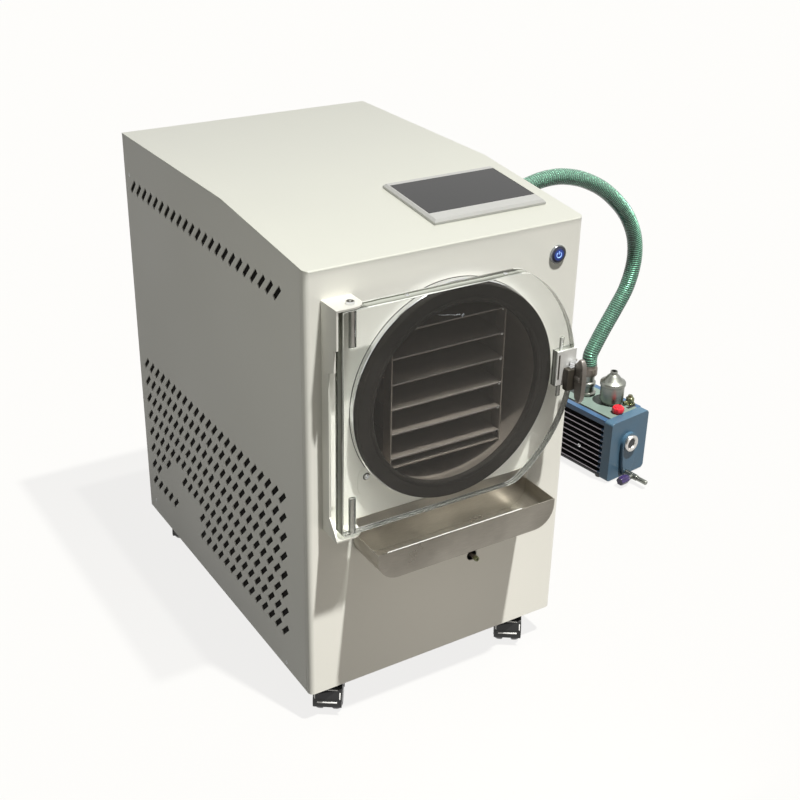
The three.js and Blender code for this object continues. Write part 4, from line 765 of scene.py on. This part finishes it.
door_screws = Shape()
for x in (AXIS_X - 100, AXIS_X + 75):
    door_screws.screw((x, bolt_y, door_high.z), "z", 3.6, 1.8)
door_screws.piece("door_screws", chrome, "chrome", body="door")

tab = rounded((AXIS_X - 168, AXIS_Z - 146), (AXIS_X - 128, AXIS_Z - 96), 14, 8)
Shape().prism(tab, FACE - 1.4, FACE - 0.1, "y", 0.5).piece("flange_tab", white, "white_paint")
tab_x, tab_z = AXIS_X - 153, AXIS_Z - 113
tab_screw = Shape().screw((tab_x, FACE - 1.4, tab_z), "y", 4.6, 3.0, -1)
tab_screw.piece("tab_screw", chrome, "chrome")
washer = Shape().turned([(0, -1.7), (6.0, -1.7), (6.4, -1.3), (0, -1.3)], (tab_x, FACE, tab_z), "y", 28)
washer.piece("tab_washer", dark_block, "black_plastic")

# --- Latch ---

housing_low, housing_high = box("latch_housing")
handle_low, handle_high = box("latch_handle")
spindle = joint_at("latch_turn")
notch_x = AXIS_X + NOTCH_LEFT
notch_low, notch_high = AXIS_Z + NOTCH_LOW, AXIS_Z + NOTCH_HIGH
latch_plate = Shape().block(
    (notch_x + FIT, door_low.y, notch_low + FIT), (housing_high.x - 4, door_high.y, notch_high - FIT), 1.2, 3
)
bolts = rod(PIN, notch_low - BOLT_REACH, notch_high + BOLT_REACH)
latch_plate.turned(bolts, (bolt_x, bolt_y, 0), "z", 28)
boss = [(PIN + FIT, -1), (8, -1), (8, 3.6), (PIN + FIT, 3.6)]
latch_plate.turned(stacked(boss, door_high.y), (spindle.x, 0, spindle.z), "y", 32)
latch_plate.piece("latch_plate", clear_fitting, "aluminium", "latch_housing", body="door")
slot = Shape().block(
    (notch_x + 3.4, door_low.y - 0.4, AXIS_Z - 13), (notch_x + 6.6, door_low.y + 0.5, AXIS_Z + 30), 0.3
)
slot.piece("latch_slot", dark_block, "black_plastic", body="door")
# Near-black while the plate beside it is pale: painted shade from the paddle on the latch block
shaded_latch_block = Shape().block(
    (housing_low.x + 14, housing_low.y, housing_low.z + 14), (housing_high.x, door_low.y - FIT, AXIS_Z + 6),
    1.6, 3,
)
shaded_latch_block.piece("shaded_latch_block", dark_block, "aluminium", body="door")
bolt_head = Shape().block(
    (spindle.x - 12, housing_low.y + 1, AXIS_Z + 5.8), (spindle.x + 8, door_low.y - 0.6, AXIS_Z + 9), 0.8
)
bolt_head.turned([(0, 9), (7, 9), (7.6, 10), (7.6, 14), (6.4, 15.4), (0, 15.4)],
                 (spindle.x - 3, (housing_low.y + door_low.y) / 2, AXIS_Z), "z", 6)
bolt_head.piece("latch_bolt", chrome, "chrome", body="door")


def bulge(share, power):
    """Rounder or squarer than a circle by the power."""
    return math.copysign(abs(share) ** power, share)


front, back = handle_low.y, housing_low.y - 0.6
leaf = [
    (
        (front + back) / 2 + (back - front) / 2 * bulge(math.cos(angle), 0.6),
        (handle_low.z + handle_high.z) / 2
        + (handle_high.z - handle_low.z) / 2 * bulge(math.sin(angle), 0.85),
    )
    for angle in (math.tau * i / 40 for i in range(40))
]
paddle = Shape().prism(leaf, handle_low.x + 2.2, handle_high.x - 2.2, "x", 2.4, 4)
paddle.turned(
    [(0, front + 6), (6, front + 6), (6.5, front + 7), (6.5, back), (PIN, back), (PIN, handle_high.y),
     (0, handle_high.y)],
    (spindle.x, 0, spindle.z), "y", 32,
)
paddle.piece("latch_paddle", handle_steel, "dark_steel", "latch_handle", body="latch")

# --- Button ---

ring_low, ring_high = box("button_ring")
cap_low, cap_high = box("button_cap")
BUTTON = Vector(((ring_low.x + ring_high.x) / 2, 0, (ring_low.z + ring_high.z) / 2))
ring = Shape().turned(
    [
        (12.2, ring_low.y + 1.0), (12.8, ring_low.y), (14.6, ring_low.y), (15.5, ring_low.y + 1.2),
        (15.5, FACE - FIT), (13.4, FACE - FIT), (13.4, ring_high.y), (0, ring_high.y),
        (0, ring_high.y - 1.2), (12.2, ring_high.y - 1.2),
    ],
    BUTTON, "y", 64,
)
ring.piece("button_bezel", dark_chrome, "chrome", "button_ring")
lens = stacked([(0, 0), (10.2, 0), (11.4, 0.5), (11.9, 1.4)], cap_low.y)
cap = Shape().turned(lens + [(11.9, cap_high.y), (0, cap_high.y)], BUTTON, "y", 64)
cap.piece("button_lens", blue_lamp, "blue_lamp", "button_cap", body="button")
edge = [(9.2, -0.05), (10.4, -0.05), (11.6, 0.45), (11.95, 1.4), (11.0, 1.4), (9.2, 0.5)]
edge = Shape().turned(stacked(edge, cap_low.y), BUTTON, "y", 64)
edge.piece("button_edge", navy, "blue_lamp", body="button")
symbol = Shape()
for stroke in (arc(0, 0, 4.6, 125, 415, 28), [(0, 1), (0, 6.2)]):
    symbol.tube([(BUTTON.x + u, cap_low.y - 0.05, BUTTON.z + v) for u, v in stroke], 0.75, 8)
symbol.piece("button_symbol", symbol_light, "blue_lamp", body="button")

# --- Casters ---

CASTER_HALF = 25.0


def caster(name):
    """Twin wheels under a fender; the axle lies in front of the swivel, along the roll axis."""
    swivel = joint_at(f"{name}_turn")
    axle = joint_at(f"{name}_roll")
    across = JOINTS[f"{name}_roll"]["axis"]
    turn = Matrix.Translation(swivel) @ Matrix.Rotation(math.atan2(across[1], across[0]), 4, "Z")
    trail = -math.hypot(axle.x - swivel.x, axle.y - swivel.y)
    radius = axle.z
    half = CASTER_HALF
    disc = [
        (0, 7.2), (20, 7.2), (23.4, 7.6), (24.6, 8.8), (radius, 10.6), (radius, half - 9.5),
        (24.3, half - 6.4), (22.6, half - 3.6), (20.2, half - 1.5), (17.6, half - 0.6),
        (16.4, half - 1.8), (14.6, half - 1.9), (13.4, half - 0.4), (6, half - 0.1), (5, half), (0, half),
    ]
    wheel = Shape()
    for side in (-1, 1):
        wheel.turned(stacked(disc, 0, side), (0, trail, radius), "x", 56)
    wheel.turned(rod(4, -8, 8), (0, trail, radius), "x", 20)
    wheel.piece(f"{name}_twin", black_plastic, "black_plastic", f"{name}_wheels", turn, f"{name}_wheel")
    fender = curved_strip(trail, radius, 26.5, 28.7, -12, 192, 26)
    hood = Shape().prism(fender, 0.4 - half, half - 0.4, "x", 0.7)
    rib = curved_strip(trail, radius, 28.0, 29.4, 8, 172, 22)
    for low, high in ((0.5 - half, 6 - half), (half - 6, half - 0.5), (-7, 7)):
        hood.prism(rib, low, high, "x", 0.6)
    # Pale strokes across the fender and at its sides: painted highlights on the glossy black plastic
    painted_glints = Shape()
    for angle, thick in ((128, 1.2), (171, 1.6)):
        y, z = arc(trail, radius, 28.6, angle, angle, 1)[0]
        painted_glints.tube([(8 - half, y, z), (half - 8, y, z)], thick, 14)
    glint = curved_strip(trail, radius, 28.2, 30.0, 136, 158, 12)
    for low, high in ((2.6 - half, 4.4 - half), (half - 4.4, half - 2.6)):
        painted_glints.prism(glint, low, high, "x", 0.3)
    painted_glints.piece(f"{name}_trim", clear_fitting, "black_plastic", matrix=turn, body=f"{name}_swivel")
    hood.block((-6.2, trail - 6, radius - 8), (6.2, trail + 27, radius + 27), 2.0, 3)
    hood.turned([(0, 30), (11, 30), (12, 32), (12, 60.6), (11, 61.6), (0, 61.6)], sides=40)
    hood.turned(rod(5, 60, 72.4), sides=24)
    hood.piece(f"{name}_fender", black_plastic, "black_plastic", f"{name}_hood", turn, f"{name}_swivel")


for number in (1, 2, 3, 4):
    caster(f"caster_{number}")

# --- Hose: its route in x and z, measured from the cabinet's own middle ---

HOSE_Y = 180.772
HOSE_ROUTE = [
    (285.3, 577), (308, 577), (345, 586), (390, 606), (440, 636), (495, 665), (553, 682),
    (599, 686), (640, 681), (685, 667), (738, 639), (788, 597), (821, 556), (843, 508),
    (848, 454), (834, 396), (805, 346), (778, 304), (757, 268), (747, 247), (747, 225.6),
]
HOSE_SHIFT = -283.993
HOSE_RADIUS = 17.5
WIRE_PITCH = 5.0
WIRE_RADIUS = 0.8
route = smooth_path([(x + HOSE_SHIFT, HOSE_Y, z) for x, z in HOSE_ROUTE], 8)


def helix(path, radius, pitch, steps):
    """Spiral about the path."""
    frames = frames_along(path)
    walked = [0.0]
    for a, b in zip(path, path[1:]):
        walked.append(walked[-1] + (b - a).length)
    points = []
    index = 0
    count = int(walked[-1] / pitch * steps)
    for i in range(count + 1):
        reach = walked[-1] * i / count
        while index < len(path) - 2 and walked[index + 1] < reach:
            index += 1
        share = (reach - walked[index]) / (walked[index + 1] - walked[index])
        point, side, up = frames[index]
        point = point.lerp(frames[index + 1][0], share)
        angle = math.tau * reach / pitch
        points.append(point + (side * math.cos(angle) + up * math.sin(angle)) * radius)
    return points


wall = Shape().tube(route, HOSE_RADIUS - 0.5, 40)
wall = wall.piece("hose_wall", green_hose, "green_hose", "vacuum_hose")
wire = Shape().tube(helix(route, HOSE_RADIUS - 2.2, WIRE_PITCH, 20), WIRE_RADIUS, 6)
wire = wire.piece("hose_coil", hose_wire, "green_hose")
# A dark tube inside the clear wall: painted shade for the inside of the hose
shade_core = Shape().tube(route, HOSE_RADIUS - 3.6, 32).piece("hose_shade_core", hose_shade_core, "green_hose")

# --- Pump, in its own frame: x to its right, y to its rear, from its front foot ---

BALLAST = (47, 47)
FRONT = 24.3
REAR = 175.0
DECK = 150.3
HALF_WIDTH = 60
FEET = [(x, y, 0) for x in (-48, 48) for y in (36.3, 163.3)]
FIN_FOOT = 15.0
FIN_PITCH = 13.5
FIN_COUNT = 9
knob_axis = JOINTS["drain_knob_turn"]["axis"]
pump_turn = Matrix.Rotation(math.atan2(-knob_axis[1], -knob_axis[0]), 4, "Z")
PUMP = Matrix.Translation(joint_at("ballast_turn") - pump_turn @ Vector((*BALLAST, 150))) @ pump_turn

case = Shape().block((-46, FRONT, 6), (46, REAR, 148), 1.0).block((-58, FRONT, 6), (58, REAR, 12), 1.0)
for foot in FEET:
    case.turned([(0, 0), (7, 0), (8, 1.5), (8, 7), (0, 7)], foot, "z", 24)
case.piece("pump_core", black_paint, "black_paint", "pump_case", PUMP)
fins, edges, tips = Shape(), Shape(), Shape()
for i in range(FIN_COUNT):
    z = FIN_FOOT + i * FIN_PITCH
    for side in (-1, 1):
        for shape, inner, outer, front, rear, low, high, soft in (
            (fins, 44, 59.2, FRONT, REAR, 0, 3, 0.6),
            (edges, 59.0, HALF_WIDTH, FRONT, REAR, 0.2, 2.8, 0.4),
            (tips, 46, HALF_WIDTH, FRONT - 0.1, 33, -1.2, 4.2, 1.2),
        ):
            x0, x1 = sorted((inner * side, outer * side))
            shape.block((x0, front, z + low), (x1, rear, z + high), soft)
fins.piece("pump_fins", black_paint, "black_paint", matrix=PUMP)
# The fins' outer edges take a paler finish: painted highlights where light catches them
edges.piece("pump_fin_edge_highlights", fin_edge_highlight, "black_paint", matrix=PUMP)
tips.piece("pump_fin_tips", rail_blue, "blue_paint", matrix=PUMP)
rails = Shape()
for x0, x1 in ((-HALF_WIDTH, -46), (46, HALF_WIDTH)):
    rails.block((x0, FRONT, 137), (x1, REAR + FIT, 150), 1.0)
rails.piece("pump_rails", rail_blue, "blue_paint", matrix=PUMP)
deck = Shape().block((-40, FRONT, 130), (46.5, REAR + FIT, 150), 0.8)
deck.piece("pump_plate", teal_plate, "blue_paint", matrix=PUMP)
inset = Shape().block((26, 32, 149.8), (54, 40, 150.15), 0.15)
inset.piece("pump_inset", black_paint, "black_paint", matrix=PUMP)
side_screw = Shape().screw((-HALF_WIDTH, 92, 58), "x", 4.5, 3.0, -1)
side_screw.piece("pump_side_screw", chrome, "chrome", matrix=PUMP @ Matrix.Translation((2.5, 0, 0)))

SIGHT = (-3, 0, 90)
cover = Shape().prism(rounded((-HALF_WIDTH, 4), (HALF_WIDTH, 150), 6, 6), 0, 24, "y", 1.6, 3)
boss = arc(SIGHT[0], SIGHT[2], 24, 0, 180, 28) + [(-23, 35), (-13, 7), (7, 7), (17, 35)]
cover.prism(boss, -8, 1, "y", 3.0, 4)
cover.piece("pump_front", blue_paint, "blue_paint", "pump_cover", PUMP)
sight = Shape().turned(
    [(11.2, -8.3), (20, -8.3), (20, -12.4), (18.6, -14.3), (14.4, -14.3), (12.4, -12.6), (11.2, -11)],
    SIGHT, "y", 48,
)
sight.piece("sight_ring", steel, "chrome", "sight_glass", PUMP)
window = Shape().turned([(0, -8.3), (11.4, -8.3), (11.4, -10.4), (0, -11.0)], SIGHT, "y", 40)
window.piece("sight_window", sight_oil, "dark_glass", matrix=PUMP)


def lobes(count, depth):
    """Radius, as a share, of a knob with grips round its edge."""
    return lambda angle: 1 - depth * (0.5 - 0.5 * math.cos(count * angle))


fill_cap = Shape().turned(
    [
        (0, 0), (11.2, 0), (11.6, 3.4), (13.6, 4), (14, 5), (14, 11), (12.6, 13.4), (9.6, 14.2),
        (9, 16), (0, 16),
    ],
    (-7, 34, DECK), "z", 48, lobes(8, 0.1),
)
fill_cap.piece("oil_fill_cap", red_cap, "red_plastic", "oil_cap", PUMP, "oil_cap")

canister = Shape().turned(
    [
        (0, 0), (21.6, 0), (21.6, 4.6), (25.5, 6), (27, 8), (27, 43), (27.4, 44), (29, 45.4),
        (29, 51), (28, 53), (24, 55), (20.5, 57), (14, 66), (9, 70.5), (8.1, 72), (8.1, 78),
        (6, 78), (6, 62), (0, 62),
    ],
    (20, 79, DECK), "z", 56,
)
canister.piece("exhaust_trap", canister_steel, "chrome", "exhaust_canister", PUMP)

INLET = (7.2, 142.5, DECK)
inlet = Shape().turned(
    [
        (0, 0), (18, 0), (20, 2), (20, 6), (15, 8), (14.5, 21), (18, 24), (18, 32), (14.5, 34),
        (14.5, 50), (0, 50),
    ],
    INLET, "z", 48,
)
inlet.piece("inlet_fitting", canister_steel, "chrome", "pump_inlet", PUMP)
clamp = Shape().turned(
    [(14, 50), (18.6, 50), (19.5, 52), (19.5, 66), (18.6, 68), (17.6, 70), (17.6, 74.6), (14, 74.6)],
    INLET, "z", 48,
)
clamp.block((-6, 158, 202), (2, 166, 214), 1.4, 3)
clamp.piece("hose_clamp", clamp_brown, "chrome", matrix=PUMP)

collar = Shape().turned([(0, 0), (12.4, 0), (12.4, 3.4), (10, 4.6), (0, 4.6)], (*BALLAST, 150.1), "z", 6)
collar.tube([(*BALLAST, 156), (36, 49, 156), (29, 50.5, 156)], 4.4, 20)
collar.piece("ballast_collar", brass, "brass", matrix=PUMP)
ballast = Shape().turned(
    [
        (0, 0), (7, 0), (7.2, 5), (9.2, 5.6), (9.5, 7), (9.5, 15), (8.4, 16.6), (5.8, 17.6), (5, 22),
        (0, 22),
    ],
    (*BALLAST, DECK), "z", 48, lobes(6, 0.12),
)
ballast.piece("ballast_knob", brass, "brass", "ballast_valve", PUMP, "ballast")

TAP_Z = 16
KNOB_AT = (0, -28.7, TAP_Z)
tap = Shape().turned(
    [
        (0, -8.3), (6.2, -8.3), (7, -9.5), (7, -41), (6, -42.3), (5.4, -42.3), (5.4, -68),
        (4.6, -69.3), (0, -69.3),
    ],
    (-8, 0, TAP_Z), "y", 32,
)
tap.turned([(0, -8), (6, -8), (6, -22), (3, -23), (3, -43), (0, -43)], KNOB_AT, "x", 28)
tap.piece("drain_tap", canister_steel, "chrome", "drain_valve", PUMP)
knob = Shape().turned(
    [(3.4, -23.4), (7.6, -23.4), (10.5, -31), (10.5, -47.5), (9, -51.3), (0, -51.3), (0, -44), (3.4, -44)],
    KNOB_AT, "x", 48, lobes(6, 0.14),
)
knob.piece("tap_knob", purple, "purple_plastic", "drain_knob", PUMP, "drain_knob")

MOTOR_Z = 80
MOTOR_RIBS = 28
start = REAR + 0.6
end = start + 195.5
motor = Shape().turned(
    [
        (0, start), (54, start), (54, start + 12), (58, start + 14), (58, end - 50), (63, end - 49),
        (65, end - 46), (65, end - 8), (62, end - 2), (56, end), (0, end),
    ],
    (0, 0, MOTOR_Z), "y", 64,
)
motor.block((-45, start + 40, 0), (45, start + 130, 30), 2.0)
for i in range(MOTOR_RIBS):
    spin = Matrix.Translation((0, 0, MOTOR_Z)) @ Matrix.Rotation(math.tau * i / MOTOR_RIBS, 4, "Y")
    motor.block((-1.2, start + 16, 55), (1.2, end - 52, 61.8), 0.5, 1, spin)
motor.piece("motor_shell", blue_paint, "blue_paint", "pump_motor", PUMP)

# --- Floor and world ---

BACKGROUND = (0.992, 0.984, 0.972)
AMBIENT = 0.1
FLOOR_REACH = 14.0
FLOOR_GLOW = 0.85


def card(name, x, y, z, material, *missed):
    """Flat card that the missed kinds of ray don't meet."""
    mesh = bpy.data.meshes.new(name)
    mesh.from_pydata([(x[0], y[0], z), (x[1], y[0], z), (x[1], y[1], z), (x[0], y[1], z)], [], [(0, 1, 2, 3)])
    mesh.materials.append(material)
    made = bpy.data.objects.new(name, mesh)
    scene.collection.objects.link(made)
    for kind in missed:
        setattr(made, f"visible_{kind}", False)


def new_material(name):
    made = bpy.data.materials.new(name)
    made.use_nodes = True
    return made, made.node_tree


def seen_by_eye(tree):
    """1 for what the camera sees itself, in a mirror or through glass, 0 for light on surfaces."""
    path = add(tree, "ShaderNodeLightPath").outputs
    mirror = calc(tree, "MAXIMUM", path["Is Glossy Ray"], path["Is Transmission Ray"])
    direct = calc(tree, "LESS_THAN", path["Diffuse Depth"], 0.5)
    return calc(tree, "MAXIMUM", path["Is Camera Ray"], calc(tree, "MULTIPLY", mirror, direct))


floor = Finish("floor", (0.44, 0.44, 0.42), 0.8, tone=0.004, grain=40.0, grain_tone=0.002, bump=0.0)
shown = seen_by_eye(floor.tree)
floor.link(blend(floor.tree, shown, (0.055, 0.055, 0.05), floor.colour), "Base Color")
share = calc(floor.tree, "MULTIPLY", shown, FLOOR_GLOW)
show(floor.tree, mix(floor.tree, share, floor.shader.outputs[0], glow(floor.tree, BACKGROUND)))
reach = (-FLOOR_REACH, FLOOR_REACH)
card("floor", reach, reach, 0, floor.material)

world = bpy.data.worlds.new("studio")
scene.world = world
world.use_nodes = True
tree = world.node_tree
tree.nodes.clear()
ambient, backdrop = (
    add(tree, "ShaderNodeBackground", {"Color": opaque(colour), "Strength": strength}).outputs[0]
    for colour, strength in (((1.0, 0.99, 0.97), AMBIENT), (BACKGROUND, 1.0))
)
add(tree, "ShaderNodeOutputWorld", {"Surface": mix(tree, seen_by_eye(tree), ambient, backdrop)})

# --- Lamps and cards ---

MIDDLE = Vector((-0.284, -0.334, 0.45))
KEY_FROM = Vector((0.36, -1.0, 3.5)).normalized()


def lamp(kind, name, place, target, power, colour):
    """Lamp that isn't seen through the clear door, where it would count twice."""
    data = bpy.data.lights.new(name, kind)
    data.energy = power
    data.color = colour
    made = bpy.data.objects.new(name, data)
    made.location = place
    scene.collection.objects.link(made)
    made.rotation_euler = (Vector(target) - made.location).to_track_quat("-Z", "Y").to_euler()
    made.visible_transmission = False
    return made


key = lamp("SUN", "key", MIDDLE + KEY_FROM * 3, MIDDLE, 6.75, (1.0, 0.99, 0.96))
key.data.angle = math.radians(1.6)
for name, place, target, wide, tall, power, colour in (
    ("side fill", (-1.2, -0.5, 0.8), (-0.53, -0.15, 0.55), 0.45, 0.45, 0.62, (1.0, 0.99, 0.9)),
    ("low fill", (-0.25, -0.87, 0.15), (-0.25, -0.33, 0.25), 0.5, 0.2, 0.75, (1.0, 0.9, 0.8)),
):
    fill = lamp("AREA", name, place, target, power, colour)
    fill.data.shape = "RECTANGLE"
    fill.data.size = wide
    fill.data.size_y = tall
    fill.visible_glossy = False


def scrim(name, low, high, share, spill=(0.0, 0.0, 0.0)):
    """Gauze above a box that lets a share of the key light through, from front to rear."""
    shift = KEY_FROM * ((high.z - low.z) * MM / KEY_FROM.z)
    x = (low.x * MM + shift.x - spill[0], high.x * MM + shift.x + spill[1])
    y = (low.y * MM + shift.y, high.y * MM + shift.y + spill[2])
    gauze, tree = new_material(name)
    place = add(tree, "ShaderNodeTexCoord").outputs["Object"]
    grade = spread(tree, axis_of(tree, place, "Y"), *y, *share)
    show(tree, add(tree, "ShaderNodeBsdfTransparent", {"Color": grade}).outputs[0])
    card(name, x, y, high.z * MM, gauze, "camera", "diffuse", "glossy", "transmission")


cover_low, cover_high = box("top_cover")
cover_high.z = 1000.0
scrim("scrim", cover_low, cover_high, (0.44, 0.285), (0.1, 0.003, 0.1))
for end, top in (("low", bracket_low.z + EAR), ("high", bracket_high.z)):
    ear_low = Vector((bracket_low.x - 2, bracket_low.y - 2, top))
    ear_high = Vector((bracket_high.x + 2, FACE - 1, top + 4.6))
    scrim(f"ear scrim {end}", ear_low, ear_high, (0.5, 0.5))

# Dim card on the floor in front, met only by reflections, as a dark room is
ROOM_TONE = (0.33, 0.31, 0.28)
dim, tree = new_material("flag")
bounced = add(tree, "ShaderNodeLightPath").outputs["Glossy Depth"]
clear = add(tree, "ShaderNodeBsdfTransparent").outputs[0]
show(tree, mix(tree, calc(tree, "GREATER_THAN", bounced, 0.5), clear, glow(tree, ROOM_TONE)))
card("flag", (-3.0, 3.5), (-5.0, -0.72), 0.002, dim, "camera", "diffuse", "shadow")

# --- Camera ---

AZIMUTH, ELEVATION, ROLL = (math.radians(a) for a in (-32.28, 27.19, 1.27))
CAMERA_AT = (-1.30819, -1.81833, 1.47630)
optics = bpy.data.cameras.new("camera")
optics.lens = 57.61
optics.sensor_width = 36.0
optics.clip_start = 0.05
optics.clip_end = 60.0
camera = bpy.data.objects.new("camera", optics)
scene.collection.objects.link(camera)
level = math.cos(ELEVATION)
back = Vector((math.sin(AZIMUTH) * level, -math.cos(AZIMUTH) * level, math.sin(ELEVATION)))
across = Vector((0, 0, 1)).cross(back).normalized()
upward = back.cross(across)
right = across * math.cos(ROLL) + upward * math.sin(ROLL)
above = upward * math.cos(ROLL) - across * math.sin(ROLL)
camera.matrix_world = Matrix.Translation(CAMERA_AT) @ Matrix((right, above, back)).transposed().to_4x4()
scene.camera = camera

scene.view_settings.view_transform = "Standard"
